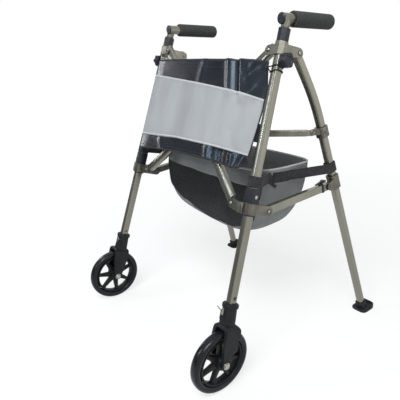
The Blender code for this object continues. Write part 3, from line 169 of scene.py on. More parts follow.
# The floor's paper glows where camera, clear and gloss rays meet it, most far out, and its dull part
# takes the walker's soft shadow.
floor_mesh = bpy.data.meshes.new("studio_floor")
floor_mesh.from_pydata([(-14, -14, 0), (14, -14, 0), (14, 14, 0), (-14, 14, 0)], [], [(0, 1, 2, 3)])
floor = linked("studio_floor", floor_mesh)
paper = bpy.data.materials.new("studio_paper")
paper.use_nodes = True
tree = paper.node_tree
tree.nodes.clear()
rays = new_node(tree, "LightPath").outputs
spot = new_node(tree, "TexCoord").outputs["Object"]
share = white_share(tree, rays, spot, (-0.78, -0.62, 0.0), 0.35, 1.05)
away = new_node(tree, "VectorMath", {0: spot}, operation="LENGTH").outputs["Value"]
power = maths(tree, "MULTIPLY", share, mapped(tree, away, 0.7, 3.5, 0.72, 0.97))
glow = new_node(tree, "Emission", {"Color": (1, 1, 1, 1), "Strength": power}).outputs[0]
bounce = mapped(tree, rays["Is Diffuse Ray"], 0.0, 1.0, 0.30, 0.85)
dull = new_node(tree, "BsdfDiffuse", {"Color": bounce}).outputs[0]
lit_paper = new_node(tree, "AddShader", {0: dull, 1: glow}).outputs[0]
new_node(tree, "OutputMaterial", {"Surface": lit_paper})
floor_mesh.materials.append(paper)


# Front legs, rear legs and crossed arms: rounded square aluminium tube with a thin pale bronze lacquer.
# They are the CAD's own tubes; the front legs' and arms' corners are shaded round.
def noise_of(tree, scale, detail, stretch=(1, 1, 1)):
    """Noise on the piece's own coordinates, stretched along the axes."""
    place = new_node(tree, "TexCoord").outputs["Object"]
    place = new_node(tree, "Mapping", {"Vector": place, "Scale": stretch}).outputs["Vector"]
    return new_node(tree, "TexNoise", {"Vector": place, "Scale": scale, "Detail": detail}).outputs["Fac"]


def thread_height(tree, across, along):
    """Plain weave: sine bands of the given pitches, in metres, over the cloth's own UV map. Where one
    set of threads is up the other is down, which is the product of the two sines."""
    place = new_node(tree, "TexCoord").outputs["UV"]
    split = new_node(tree, "SeparateXYZ", {0: place}).outputs
    waves = [maths(tree, "SINE", maths(tree, "MULTIPLY", split[axis], 2 * math.pi / pitch))
             for axis, pitch in (("X", across), ("Y", along))]
    return maths(tree, "MULTIPLY_ADD", *waves, 0.5)


def ramp_to(tree, value, socket, low, high, start=0.35, end=0.65):
    """Value mapped through a two-colour ramp into a socket: low up to start, high from end."""
    ramp = new_node(tree, "ValToRGB", {"Fac": value})
    for stop, place, colour in zip(ramp.color_ramp.elements, (start, end), (low, high)):
        stop.position = place
        stop.color = (*np.broadcast_to(colour, 3).tolist(), 1)
    tree.links.new(ramp.outputs["Color"], socket)


def finish(name, colour, rough, metallic=0.0, coat=(0.0, 0.1), specular=0.5, mottle=None, stops=(0.35, 0.65),
           shine=None, grain=None, weave=None):
    """Principled material. The plain colour is also its viewport colour. mottle and shine vary colour and
    roughness: a noise's scale, detail and stretch, then the two ends between which it runs. The bump is
    a grain (scale, detail) or a weave (across, along), followed by its height and strength."""
    mat = bpy.data.materials.new(name)
    mat.use_nodes = True
    tree = mat.node_tree
    shader = tree.nodes["Principled BSDF"]
    inputs = {"Base Color": (*colour, 1), "Roughness": rough, "Metallic": metallic, "Coat Weight": coat[0],
              "Coat Roughness": coat[1], "Specular IOR Level": specular}
    for socket, value in inputs.items():
        shader.inputs[socket].default_value = value
    mat.diffuse_color = (*colour, 1)
    if mottle:
        ramp_to(tree, noise_of(tree, *mottle[:-2]), shader.inputs["Base Color"], *mottle[-2:], *stops)
    if shine:
        ramp_to(tree, noise_of(tree, *shine[:-2]), shader.inputs["Roughness"], *shine[-2:])
    if grain or weave:
        height = noise_of(tree, *grain[:2]) if grain else thread_height(tree, *weave[:2])
        distance, strength = (grain or weave)[2:]
        bump = new_node(tree, "Bump", {"Height": height, "Distance": distance, "Strength": strength})
        tree.links.new(bump.outputs["Normal"], shader.inputs["Normal"])
    return mat


def paint_node(name, material):
    """A CAD node keeps its mesh and gets this material."""
    mesh = frame["nodes"][name].data
    mesh.materials.clear()
    mesh.materials.append(material)


def fit(piece, body, slot, material, *stands_for):
    """Paints a piece, has it ride on its body and hides the CAD nodes that it stands for."""
    piece.data.materials.clear()
    piece.data.materials.append(material)
    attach(piece, body)
    if stands_for:
        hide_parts(*stands_for)
    return piece


def node_copy(node):
    """The mesh of a CAD node as a bmesh whose doubled corners are merged."""
    bm = bmesh.new()
    bm.from_mesh(frame["nodes"][node].data)
    bmesh.ops.remove_doubles(bm, verts=bm.verts, dist=1e-6)
    return bm


def baked(name, bm):
    """New mesh from a bmesh, which is freed."""
    mesh = bpy.data.meshes.new(name)
    bm.to_mesh(mesh)
    bm.free()
    return mesh


def smooth_tube(name):
    """Copy of a CAD tube whose corners are shaded round, so that its front looks a little crowned. The
    faces that look to the sides stay flat: the edges round them are marked sharp."""
    bm = node_copy(name)
    for face in bm.faces:
        face.smooth = True
    for edge in bm.edges:
        sideways = [abs(face.normal.x) > 0.97 for face in edge.link_faces]
        edge.smooth = edge.calc_face_angle(0.0) < math.radians(50) and len(set(sideways)) < 2
    piece = linked(name + "_drawn", baked(name + "_drawn", bm))
    fit(piece, frame["nodes"][name]["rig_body"], "frame", lacquer, name)


lacquer = finish("bronze_lacquer", (0.225, 0.22, 0.183), 0.27, 0.88, (0.12, 0.25),
                 mottle=(12, 3, (1, 1, 0.35), (0.21, 0.205, 0.168), (0.24, 0.235, 0.20)),
                 shine=(30, 3, (1, 1, 0.2), 0.255, 0.295), grain=(240, 2, 0.000002, 0.04))
for name in ("front_leg_l", "front_leg_r", "arm_a", "arm_b"):
    smooth_tube(name)
for name in ("rear_leg_l", "rear_leg_r"):
    paint_node(name, lacquer)

# Castings: hubs, slide brackets, collars, struts and handle posts, die cast or drawn in the same bronze
# as the tubes, a shade duller; brackets and collars are darker. Each is its CAD solid with its sharp
# edges rounded a little. The brace bars are the CAD's own, with the tubes' lacquer.
SIDES = ((1, "_l"), (-1, "_r"))
casting = finish("bronze_casting", (0.19, 0.184, 0.152), 0.36, 0.82, (0.15, 0.2),
                 mottle=(60, 4, (0.17, 0.165, 0.135), (0.21, 0.203, 0.17)),
                 shine=(120, 3, 0.31, 0.42), grain=(700, 3, 0.00004, 0.4))
dark_casting = finish("umber_casting", (0.115, 0.108, 0.09), 0.34, 0.80, (0.15, 0.2),
                      mottle=(60, 4, (0.10, 0.094, 0.078), (0.135, 0.127, 0.107)),
                      shine=(120, 3, 0.29, 0.40), grain=(700, 3, 0.00004, 0.4))


def smoothed(mesh, degrees):
    """Smooth shading that breaks at edges sharper than this."""
    mesh.shade_smooth()
    mesh.set_sharp_from_angle(angle=math.radians(degrees))


def edged(node, width, material, slot, segments=2):
    """Copy of a CAD node whose flat faces are joined and whose sharp edges are bevelled by width."""
    bm = node_copy(node)
    bmesh.ops.dissolve_limit(bm, angle_limit=math.radians(1.0), verts=bm.verts, edges=bm.edges)
    mesh = baked(node + "_finished", bm)
    piece = linked(node + "_finished", mesh)
    soften = piece.modifiers.new("Bevel", "BEVEL")
    soften.width, soften.segments, soften.limit_method = width, segments, "ANGLE"
    soften.angle_limit = math.radians(32)
    soften.use_clamp_overlap = soften.harden_normals = True
    smoothed(mesh, 40)
    fit(piece, frame["nodes"][node]["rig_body"], slot, material, node)


for _, mark in SIDES:
    edged("hub" + mark, 0.0006, casting, "cast")
    for stem in ("slide_bracket", "upper_collar", "lower_collar"):
        edged(stem + mark, 0.0006, dark_casting, "cast")
    edged("strut" + mark, 0.0007, casting, "cast")
    edged("handle_stem" + mark, 0.0004, casting, "cast")
    paint_node("side_brace" + mark, lacquer)

# Black nylon mouldings: bushes under the handles, tee caps, stop sleeves, slider liners, arm caps and
# latches. Satin, with the faint orange peel of a moulding.
nylon = finish("black_nylon", (0.014, 0.016, 0.022), 0.36, specular=0.28,
               mottle=(40, 3, (0.010, 0.012, 0.017), (0.018, 0.021, 0.028)),
               shine=(120, 3, 0.30, 0.42), grain=(1400, 2, 0.00004, 0.6))
for _, mark in SIDES:
    edged("stem_bush" + mark, 0.0010, nylon, "black_plastic")
    edged("stop_sleeve" + mark, 0.0008, nylon, "black_plastic")
    edged("brace_latch" + mark, 0.0006, nylon, "black_plastic")
    for stem in ("tee_cap", "slide_liner", "latch_band"):
        paint_node(stem + mark, nylon)
for name in ("arm_a_cap", "arm_b_cap"):
    paint_node(name, nylon)

# Forks: glass-filled nylon, duller and greyer than the small mouldings, with well rounded crowns.
fork_nylon = finish("fork_nylon", (0.010, 0.011, 0.012), 0.46, specular=0.20,
                    mottle=(30, 4, (0.008, 0.009, 0.010), (0.015, 0.016, 0.017)),
                    shine=(200, 3, 0.44, 0.60), grain=(1100, 3, 0.00008, 0.7))
for _, mark in SIDES:
    edged("fork" + mark, 0.0022, fork_nylon, "fork_plastic", 3)

# Feet: black rubber shoes, matt and faintly mottled.
shoe_rubber = finish("shoe_rubber", (0.014, 0.015, 0.016), 0.70, specular=0.25,
                     mottle=(55, 5, (0.011, 0.012, 0.013), (0.022, 0.023, 0.025)),
                     grain=(800, 3, 0.0001, 0.6))
for _, mark in SIDES:
    edged("foot" + mark, 0.0012, shoe_rubber, "rubber")

# Steel: bolts, the centre pin and the forks' snap pins, zinc plated.
zinc = finish("zinc_plate", (0.40, 0.385, 0.35), 0.28, 0.95, shine=(300, 3, 0.20, 0.38))
for name in ("stop_bolt_l", "stop_bolt_r", "axle_bolt_l", "axle_bolt_r", "centre_pin",
             "fork_pin_l", "fork_pin_r"):
    paint_node(name, zinc)

# Tyres and wheels: a solid polyurethane tyre with a soft shine on a black seven-spoked wheel. Both are
# profiles turned about the axle; the spokes are tapered bars that run from the boss into the rim.
AXLE = np.array((0.267962, -0.243216, 0.0762))
TYRE_OUTER, TYRE_INNER, TYRE_HALF, TYRE_POWER = 0.0762, 0.0585, 0.0125, 0.80
RIM_IN, RIM_HALF, BOSS_R, BOSS_HALF, BORE_R = 0.0530, 0.0100, 0.0165, 0.0160, 0.0043
SPOKES, SPOKE_STARTS = 7, {1: math.radians(36.7), -1: math.radians(12.9)}
SPOKE_WIDE, SPOKE_SLIM, SPOKE_THICK = 0.0165, 0.0076, 0.0110


def mended(mesh, merge=None, outward=True):
    """Merges corners that lie closer than merge and turns the faces outwards, each where asked for."""
    bm = bmesh.new()
    bm.from_mesh(mesh)
    if merge:
        bmesh.ops.remove_doubles(bm, verts=bm.verts, dist=merge)
    if outward:
        bmesh.ops.recalc_face_normals(bm, faces=bm.faces)
    bm.to_mesh(mesh)
    bm.free()


def grid_piece(name, points, closed_rows=False, closed_cols=False, cap=False, uv_size=(1, 1), side=1,
               angle=40, outward=True):
    """Quads over a grid of points (rows, columns, xyz). Closed directions join the last line to the
    first, and cap closes both end rows with one face each. UV runs 0 to uv_size along columns and
    rows. For side -1 the x of every point changes sign and the columns are read backwards."""
    pts = np.array(points, float)
    if side < 0:
        pts = (pts * (-1, 1, 1))[:, ::-1]
    rows, cols = pts.shape[:2]
    r, c = np.indices((rows - (not closed_rows), cols - (not closed_cols)))
    corners = [(r, c), (r, c + 1), (r + 1, c + 1), (r + 1, c)]
    quads = np.stack([(a % rows) * cols + (b % cols) for a, b in corners], -1).reshape(-1, 4)
    wide, high = uv_size[0] / (cols - 1 + closed_cols), uv_size[1] / (rows - 1 + closed_rows)
    uv = np.stack([np.stack((b * wide, a * high), -1) for a, b in corners], -2).reshape(-1, 2)
    faces = quads.tolist()
    if cap:
        faces += [list(range(cols))[::-1], list(range((rows - 1) * cols, rows * cols))]
        uv = np.vstack((uv, np.zeros((2 * cols, 2))))
    mesh = bpy.data.meshes.new(name)
    mesh.from_pydata(pts.reshape(-1, 3).tolist(), [], faces)
    mesh.uv_layers.new(name="UVMap").data.foreach_set("uv", uv.ravel().astype(np.float32))
    mended(mesh, 1e-7, outward)
    smoothed(mesh, angle)
    return linked(name, mesh)


def full_turn(n):
    """Angles once round, in n steps."""
    return np.linspace(0, 2 * math.pi, n, endpoint=False)


def rounded_loop(width, height, n, power):
    """Superellipse of n points: power 1 gives a true ellipse, and less gives squarer corners."""
    a = full_turn(n)
    return np.stack([size / 2 * np.sign(wave) * np.abs(wave) ** power
                     for size, wave in ((width, np.cos(a)), (height, np.sin(a)))], -1)


def turned_points(profile, centre, axis, n):
    """Profile of (radius, distance along the axis) pairs turned once round the axis in n steps."""
    axis = np.array(axis, float) / np.linalg.norm(axis)
    first = np.cross(axis, (0.0, 0.0, 1.0) if abs(axis[2]) < 0.9 else (1.0, 0.0, 0.0))
    first /= np.linalg.norm(first)
    second = np.cross(axis, first)
    turn = full_turn(n)
    profile = np.array(profile, float)
    spin = np.cos(turn)[:, None] * first + np.sin(turn)[:, None] * second
    return np.array(centre) + profile[:, None, 1:2] * axis + profile[:, None, 0:1] * spin[None]


def turned_piece(name, profile, centre, axis, n, side=1, ring=False, angle=40):
    """Piece turned from a profile; in a ring the profile runs back to its own start."""
    return grid_piece(name, turned_points(profile, centre, axis, n), ring, True, side=side, angle=angle)


def mirrored_profile(half):
    """Profile of points (radius, distance from the middle), followed by the same on the other side."""
    return [(r, -z) for r, z in half] + [(r, z) for r, z in half[::-1]]


def spoke_points(number, start):
    """Tapered bar from inside the boss to inside the rim: at each distance out its section is a rounded
    rectangle, wide at the boss and slim before the rim, where it flares."""
    out = np.linspace(BOSS_R - 0.003, RIM_IN + 0.0012, 12)
    share = (out - out[0]) / (out[-1] - out[0])
    wide = SPOKE_WIDE + (SPOKE_SLIM - SPOKE_WIDE) * share + 0.0030 * np.clip(share - 0.88, 0, 1) / 0.12
    thick = SPOKE_THICK + 0.002 * np.abs(share - 0.5)
    loop = rounded_loop(1, 1, 20, 0.4)
    turn = 2 * math.pi * number / SPOKES + start
    along = np.array((0, math.cos(turn), math.sin(turn)))
    across = np.array((0, -math.sin(turn), math.cos(turn)))
    return (AXLE + out[:, None, None] * along + (wide[:, None] * loop[:, 0])[..., None] * across
            + (thick[:, None] * loop[:, 1])[..., None] * np.array((1.0, 0, 0)))


def joined(name, pieces):
    """Several closed shells as the parts of one piece."""
    bm = bmesh.new()
    for piece in pieces:
        bm.from_mesh(piece.data)
        bpy.data.objects.remove(piece, do_unlink=True)
    mesh = baked(name, bm)
    smoothed(mesh, 40)
    return linked(name, mesh)


tyre_pu = finish("tyre_polyurethane", (0.006, 0.008, 0.010), 0.22, specular=0.24,
                 mottle=(35, 4, (0.004, 0.006, 0.008), (0.008, 0.010, 0.012)),
                 shine=(60, 4, 0.20, 0.30), grain=(500, 2, 0.00005, 0.5))
wheel_nylon = finish("wheel_nylon", (0.008, 0.008, 0.009), 0.42, specular=0.18,
                     mottle=(45, 3, (0.006, 0.006, 0.007), (0.011, 0.011, 0.012)),
                     grain=(900, 2, 0.00005, 0.5))
tyre_profile = (rounded_loop(TYRE_OUTER - TYRE_INNER, 2 * TYRE_HALF, 44, TYRE_POWER)
                + ((TYRE_OUTER + TYRE_INNER) / 2, 0))
rim_profile = mirrored_profile([(RIM_IN, RIM_HALF - 0.002), (RIM_IN + 0.0006, RIM_HALF - 0.0006),
                                (RIM_IN + 0.0024, RIM_HALF), (TYRE_INNER - 0.0012, RIM_HALF),
                                (TYRE_INNER - 0.0003, RIM_HALF - 0.0008)]) + [(RIM_IN - 0.0012, 0.0)]
boss_profile = mirrored_profile([(BORE_R, BOSS_HALF), (BOSS_R - 0.0025, BOSS_HALF),
                                 (BOSS_R - 0.0008, BOSS_HALF - 0.0005), (BOSS_R, BOSS_HALF - 0.002)])
for side, mark in SIDES:
    tyre = turned_piece("tyre_ring" + mark, tyre_profile, AXLE, (1, 0, 0), 96, side, True, 60)
    fit(tyre, "wheel" + mark, "rubber", tyre_pu, "tyre" + mark)
    shells = [turned_piece("rim", rim_profile, AXLE, (1, 0, 0), 84, side, True),
              turned_piece("boss", boss_profile, AXLE, (1, 0, 0), 48, side, True)]
    shells += [grid_piece("spoke", spoke_points(i, SPOKE_STARTS[side]), False, True, cap=True, side=side)
               for i in range(SPOKES)]
    fit(joined("spoked_wheel" + mark, shells), "wheel" + mark, "black_plastic", wheel_nylon, "wheel" + mark)

# Washers on the axle's ends, bright against the black fork.
WASHER_IN, WASHER_OUT, WASHER_THICK, CHEEK_FACE = 0.0066, 0.0082, 0.0008, 0.0249
washer_rim = ((WASHER_IN, 0), (WASHER_OUT, 0), (WASHER_OUT + 0.0002, 0.5), (WASHER_OUT, 1), (WASHER_IN, 1))
for side, mark in SIDES:
    for face, end in ((1, "out"), (-1, "in")):
        profile = [(r, (CHEEK_FACE + WASHER_THICK * share) * face) for r, share in washer_rim]
        washer = turned_piece("axle_washer%s_%s" % (mark, end), profile, AXLE, (1, 0, 0), 40, side, True)
        fit(washer, "leg" + mark, "rivet", zinc)

# Grips: closed-cell foam sleeves slid over the cross tubes, square at the front and domed at the rear.
# Charcoal, matt, with the fine open pores of cut foam.
HUB = np.array((0.2262, -0.0329, 0.7258))
TUBE_AXIS = HUB + (-0.0082, 0.0, 0.0696)
GRIP_R, GRIP_FRONT, GRIP_REAR, TUBE_R, DOME_R = 0.0166, 0.0440, 0.1755, 0.0116, 0.0085
foam = finish("grip_foam", (0.048, 0.054, 0.052), 0.92, specular=0.25,
              mottle=(120, 5, (0.040, 0.046, 0.044), (0.056, 0.063, 0.060)),
              grain=(1300, 4, 0.00030, 0.8))
dome = np.radians(np.linspace(0, 90, 12))
grip_profile = [(TUBE_R, GRIP_FRONT + 0.0006), (TUBE_R + 0.001, GRIP_FRONT), (GRIP_R - 0.0022, GRIP_FRONT),
                (GRIP_R - 0.0007, GRIP_FRONT + 0.0006), (GRIP_R, GRIP_FRONT + 0.0022)]
grip_straight = GRIP_REAR - 0.013 - GRIP_FRONT
grip_profile += [(GRIP_R, GRIP_FRONT + 0.0022 + grip_straight * i / 24) for i in range(1, 24)]
grip_profile += list(zip(GRIP_R - DOME_R * (1 - np.cos(dome)), GRIP_REAR - DOME_R + DOME_R * np.sin(dome)))
grip_profile += [(0.0, GRIP_REAR), (0.0, GRIP_REAR - 0.0117), (TUBE_R, GRIP_REAR - 0.0117)]
for side, mark in SIDES:
    grip = turned_piece("foam_grip" + mark, grip_profile, TUBE_AXIS, (0, 1, 0), 56, side, True, 50)
    fit(grip, "handle" + mark, "foam", foam, "grip" + mark)

# Front panel: one piece of coated black nylon tied to the legs by its corners, with a light grey band
# of woven polyester sewn across its middle. It hangs in soft upright folds, most at its near top end.
LEAN, SPLAY, TOE = np.radians((17.94, 3.5, 4.6))
ACROSS = np.array((1.0, 0.0, 0.0))
REARWARD = np.array((0.0, math.cos(LEAN), -math.sin(LEAN)))
UPWARD = np.array((0.0, math.sin(LEAN), math.cos(LEAN)))
LEG_OUT = ACROSS * math.cos(SPLAY) + UPWARD * math.sin(SPLAY)
LEG_UP = UPWARD * math.cos(SPLAY) - ACROSS * math.sin(SPLAY)
SIDE_OUT = LEG_OUT * math.cos(TOE) - REARWARD * math.sin(TOE)
SIDE_REAR = REARWARD * math.cos(TOE) + LEG_OUT * math.sin(TOE)
PANEL_LINES = (
    # top edge, head and foot of the band, lower edge: shares of the half width, and heights there
    ((-1, 0, 1), (-0.0200, -0.0190, -0.0200)),
    ((-1, -0.45, 0, 0.25, 0.7, 1), (-0.0600, -0.0690, -0.0760, -0.0805, -0.0900, -0.0990)),
    ((-1, -0.6, -0.19, 0.27, 0.5, 0.78, 1), (-0.2320, -0.2270, -0.2210, -0.2200, -0.2200, -0.2215, -0.2230)),
    ((-1, -0.55, -0.13, 0.27, 0.52, 0.83, 0.93, 1),
     (-0.2720, -0.2620, -0.2560, -0.2530, -0.2525, -0.2560, -0.2530, -0.2380)))
# heights, and how far the near edge turns back there
NEAR_EDGE = ((-0.26, -0.22, -0.17, -0.12, -0.07, -0.03), (-0.003, 0.004, 0.013, 0.020, 0.020, 0.010))
FOLDS = (
    # x and height of both ends, how far the fold stands out, and its half width
    (0.010, -0.018, 0.004, -0.080, 0.0016, 0.0140), (0.099, -0.010, 0.124, -0.092, 0.0050, 0.0115),
    (0.122, -0.015, 0.146, -0.095, -0.0046, 0.0100), (0.142, -0.012, 0.168, -0.098, 0.0044, 0.0110),
    (0.168, -0.060, 0.196, -0.024, -0.0030, 0.0100), (0.178, -0.104, 0.226, -0.036, 0.0052, 0.0115),
    (0.204, -0.112, 0.224, -0.072, -0.0034, 0.0090), (0.117, -0.110, 0.117, -0.205, 0.0018, 0.0160),
    (0.178, -0.105, 0.182, -0.190, 0.0020, 0.0150), (0.158, -0.180, 0.176, -0.212, -0.0022, 0.0110),
    (-0.060, -0.090, -0.062, -0.200, 0.0014, 0.0220), (0.040, -0.100, 0.044, -0.190, -0.0014, 0.0240),
    (-0.120, -0.236, -0.100, -0.262, 0.0020, 0.0120), (0.090, -0.226, 0.096, -0.252, 0.0030, 0.0130),
    (0.140, -0.228, 0.142, -0.256, -0.0028, 0.0110), (0.176, -0.228, 0.180, -0.258, 0.0030, 0.0110),
    (0.218, -0.226, 0.206, -0.258, 0.0040, 0.0090))


def placed(origin, axes, *amounts):
    """Point at origin plus each amount times its axis, for numbers or whole arrays of them."""
    out = np.array(origin, float)
    for amount, axis in zip(amounts, axes):
        out = out + np.asarray(amount, float)[..., None] * axis
    return out


def on_leg(out, rear, up):
    """Point of the front leg's own axes, from the hub: out across, rear behind, up along the leg."""
    return placed(HUB, (LEG_OUT, REARWARD, LEG_UP), out, rear, up)


def eased(x, knots, values):
    """Curve through knots: straight pieces whose corners are rounded by a running mean."""
    fine = np.linspace(-1.15, 1.15, 461)
    line = np.interp(fine, knots, values)
    kernel = np.hanning(45)
    soft = np.convolve(np.pad(line, 22, mode="edge"), kernel / kernel.sum(), mode="valid")
    return np.interp(x, fine, soft)


def crease(x, up, start_x, start_up, end_x, end_up, height, width):
    """Fold along a line in the panel: height times a bell curve of the distance from it."""
    dx, du = end_x - start_x, end_up - start_up
    t = np.clip(((x - start_x) * dx + (up - start_up) * du) / (dx * dx + du * du), 0, 1)
    away = np.hypot(x - start_x - t * dx, up - start_up - t * du)
    return height * np.exp(-(away / width) ** 2)


def panel_point(share, line, proud=0.0):
    """Point of the panel. share runs -1 to 1 across; line runs 0 to 3 from the top edge over the two
    seams to the lower edge. The cloth bellies forwards between the legs and turns back at its edges,
    and creases stand out of it; proud lifts a point off the cloth's front."""
    edges = [eased(share, *knots) for knots in PANEL_LINES]
    up = sum(np.clip(1 - np.abs(line - i), 0, 1) * e for i, e in enumerate(edges))
    x = share * (HUB[0] - up * math.tan(SPLAY) - 0.0125)
    edge = np.clip((np.abs(share) - 0.80) / 0.20, 0, 1) ** 1.5
    rear = -0.0250 - 0.0030 * (1 - share ** 2) + np.where(share > 0, np.interp(up, *NEAR_EDGE), 0.0030) * edge
    folds = sum(crease(x, up, *fold) for fold in FOLDS)
    curl = 0.0060 * np.clip((share - 0.88) / 0.12, 0, 1) ** 2 * np.clip(line - 2.3, 0, 1)
    rear = rear - folds * (1 - share ** 10) - proud + curl
    return placed((0, HUB[1], HUB[2]), (ACROSS, REARWARD, UPWARD), x, rear, up)


def thickened(piece, thickness):
    """Gives an open sheet a wall and applies it."""
    wall = piece.modifiers.new("Solidify", "SOLIDIFY")
    wall.thickness, wall.offset, wall.use_even_offset = thickness, 0.0, True
    applied = bpy.data.meshes.new_from_object(piece.evaluated_get(bpy.context.evaluated_depsgraph_get()))
    piece.modifiers.clear()
    piece.data = applied
    return piece


def soft_on_cloth(piece, slot, material, *stands_for):
    """A piece of the hanging cloth: it rides on the cloth's body and has a mesh of its own."""
    fit(piece, "cloth", slot, material, *stands_for)
    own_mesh(piece)
    return piece


def panel_sheet(name, half, lines, proud, thickness, uv_size):
    """Part of the panel between shares -half and half, with rows at these lines, as a thin sheet."""
    points = panel_point(*np.meshgrid(np.linspace(-half, half, 181), lines), proud)
    return thickened(grid_piece(name, points, uv_size=uv_size, angle=80, outward=False), thickness)


def unit(v):
    """Vectors of the same directions, each of length 1."""
    return v / np.linalg.norm(v, axis=-1, keepdims=True)


def swept_points(section, path, across):
    """Section of (across, outward) pairs carried along a path. across gives, at each point of the path,
    the direction in which the section's first number runs; the second is square to it and the path."""
    path = np.array(path, float)
    along = unit(np.gradient(path, axis=0))
    across = np.broadcast_to(np.array(across, float), path.shape)
    across = unit(across - (across * along).sum(1, keepdims=True) * along)
    outward = np.cross(along, across)
    return path[:, None] + section[None, :, 0:1] * across[:, None] + section[None, :, 1:2] * outward[:, None]


def ribbon(name, path, across, width, thick, uv_size=(1, 1), side=1, n=16, power=0.5):
    """Strip or cord along a path, closed at its ends; its width lies along across."""
    points = swept_points(rounded_loop(width, thick, n, power), path, across)
    return grid_piece(name, points, False, True, cap=True, uv_size=uv_size, side=side)


def on_panel(line, proud=0.0):
    """Line across the panel."""
    run = np.linspace(-0.998, 0.998, 181)
    return panel_point(run, np.full_like(run, line), proud)


nylon_cloth = finish("coated_nylon", (0.008, 0.010, 0.014), 0.33, specular=0.36,
                     mottle=(18, 4, (0.008, 0.0095, 0.012), (0.013, 0.0155, 0.020)),
                     shine=(20, 2, 0.235, 0.265), weave=(0.0011, 0.0011, 0.00002, 0.4))
shader = nylon_cloth.node_tree.nodes["Principled BSDF"]
shader.inputs["Specular Tint"].default_value = (0.66, 0.82, 1.0, 1)
# The grey band's colour is painted in soft upright streaks, lighter and darker, that stand for the light and
# shade on its folds.
band_cloth_painted_streaks = finish("grey_polyester", (0.425, 0.435, 0.44), 0.62, specular=0.3, stops=(0.3, 0.7),
                    mottle=(9, 4, (1, 1, 0.12), (0.25, 0.258, 0.264), (0.385, 0.400, 0.413)),
                    weave=(0.0014, 0.0014, 0.00016, 0.5))
edge_tape = finish("grey_edge_tape", (0.50, 0.51, 0.51), 0.75, specular=0.3,
                   mottle=(60, 4, (0.47, 0.48, 0.48), (0.53, 0.54, 0.54)),
                   weave=(0.0012, 0.0012, 0.00012, 0.5))
black_tape = finish("black_edge_tape", (0.012, 0.012, 0.014), 0.70, specular=0.35,
                    mottle=(60, 4, (0.009, 0.009, 0.011), (0.018, 0.018, 0.021)),
                    weave=(0.0012, 0.0012, 0.00012, 0.5))
panel_rows = np.concatenate((np.linspace(0, 1, 30), np.linspace(1, 2, 40)[1:], np.linspace(2, 3, 18)[1:]))
panel = panel_sheet("panel_cloth", 1.0, panel_rows, 0.0, 0.0010, (0.44, 0.25))
soft_on_cloth(panel, "cloth", nylon_cloth, "panel")
band = panel_sheet("panel_band", 0.998, np.linspace(1.0, 2.0, 50), 0.0012, 0.0009, (0.44, 0.15))
soft_on_cloth(band, "cloth", band_cloth_painted_streaks)
for name, line, width, thick, proud in (
        ("band_tape_top", 1.012, 0.0042, 0.0016, 0.0019), ("band_tape_foot", 1.975, 0.0036, 0.0014, 0.0019),
        ("panel_hem_top", 0.02, 0.0050, 0.0022, 0.0), ("panel_hem_foot", 2.96, 0.0050, 0.0022, 0.0)):
    tape = ribbon(name, on_panel(line, proud), UPWARD, width, thick, (0.012, 0.44))
    soft_on_cloth(tape, "cloth", edge_tape if "band" in name else black_tape)
down = np.linspace(0.02, 2.97, 90)
for name, share in (("panel_side_l", 0.996), ("panel_side_r", -0.996)):
    tape = ribbon(name, panel_point(np.full_like(down, share), down), ACROSS, 0.0046, 0.0030, (0.012, 0.25))
    soft_on_cloth(tape, "cloth", black_tape)


# seams of the panel: rows of sewn stitches along the band and the hems
def stitch_row(name, path, outward, pitch):
    """Row of sewn stitches: small six-sided lozenges, pitch apart, that lie along the path and stand
    half out of the cloth. outward is one direction, or one for each point of the path."""
    length, radius, around = 0.0024, 0.0004, 6
    rings = ((-0.5, 0.35), (-0.3, 1.0), (0.3, 1.0), (0.5, 0.35))
    last = len(rings) - 1
    path = np.array(path, float)
    steps = np.concatenate(((0,), np.cumsum(np.linalg.norm(np.diff(path, axis=0), axis=1))))
    at = np.arange(pitch / 2, steps[-1], pitch)

    def along(values, where):
        """Values of the path's points, read off at these distances along it."""
        return np.stack([np.interp(where, steps, values[:, i]) for i in range(3)], -1)

    mid = along(path, at)
    ahead = unit(along(path, at + 0.0005) - mid)
    outward = unit(along(np.broadcast_to(np.array(outward, float), path.shape), at))
    cross = np.cross(ahead, outward)
    a = full_turn(around)
    ring = np.cos(a)[None, :, None] * cross[:, None] + np.sin(a)[None, :, None] * outward[:, None]
    pts = np.stack([mid[:, None] + ahead[:, None] * length * share + ring * radius * size
                    for share, size in rings], 1)
    base = (np.arange(len(mid)) * len(rings) * around)[:, None, None]
    lane, turn = np.arange(last)[None, :, None], np.arange(around)[None, None, :]
    corners = ((0, 0), (0, 1), (1, 1), (1, 0))
    quads = np.stack([base + (lane + i) * around + (turn + j) % around for i, j in corners], -1)
    tips = (range(around - 1, -1, -1), range(last * around, (last + 1) * around))
    ends = [[b + k for k in tip] for tip in tips for b in base.ravel().tolist()]
    mesh = bpy.data.meshes.new(name)
    mesh.from_pydata(pts.reshape(-1, 3).tolist(), [], quads.reshape(-1, 4).tolist() + ends)
    mended(mesh)
    mesh.shade_smooth()
    return linked(name, mesh)


black_thread = finish("black_thread", (0.020, 0.020, 0.022), 0.65,
                      mottle=(400, 3, (0.014, 0.014, 0.016), (0.032, 0.032, 0.035)))
grey_thread = finish("grey_thread", (0.38, 0.39, 0.40), 0.70,
                     mottle=(400, 3, (0.32, 0.33, 0.34), (0.44, 0.45, 0.46)))
for name, line, proud in (("stitch_band_top", 1.045, 0.0018), ("stitch_band_foot", 1.945, 0.0018),
                          ("stitch_hem_top", 0.30, 0.0006), ("stitch_hem_foot", 2.72, 0.0006)):
    row = stitch_row(name, on_panel(line, proud), -REARWARD, 0.0034)
    soft_on_cloth(row, "cloth", grey_thread if "band" in name else black_thread)

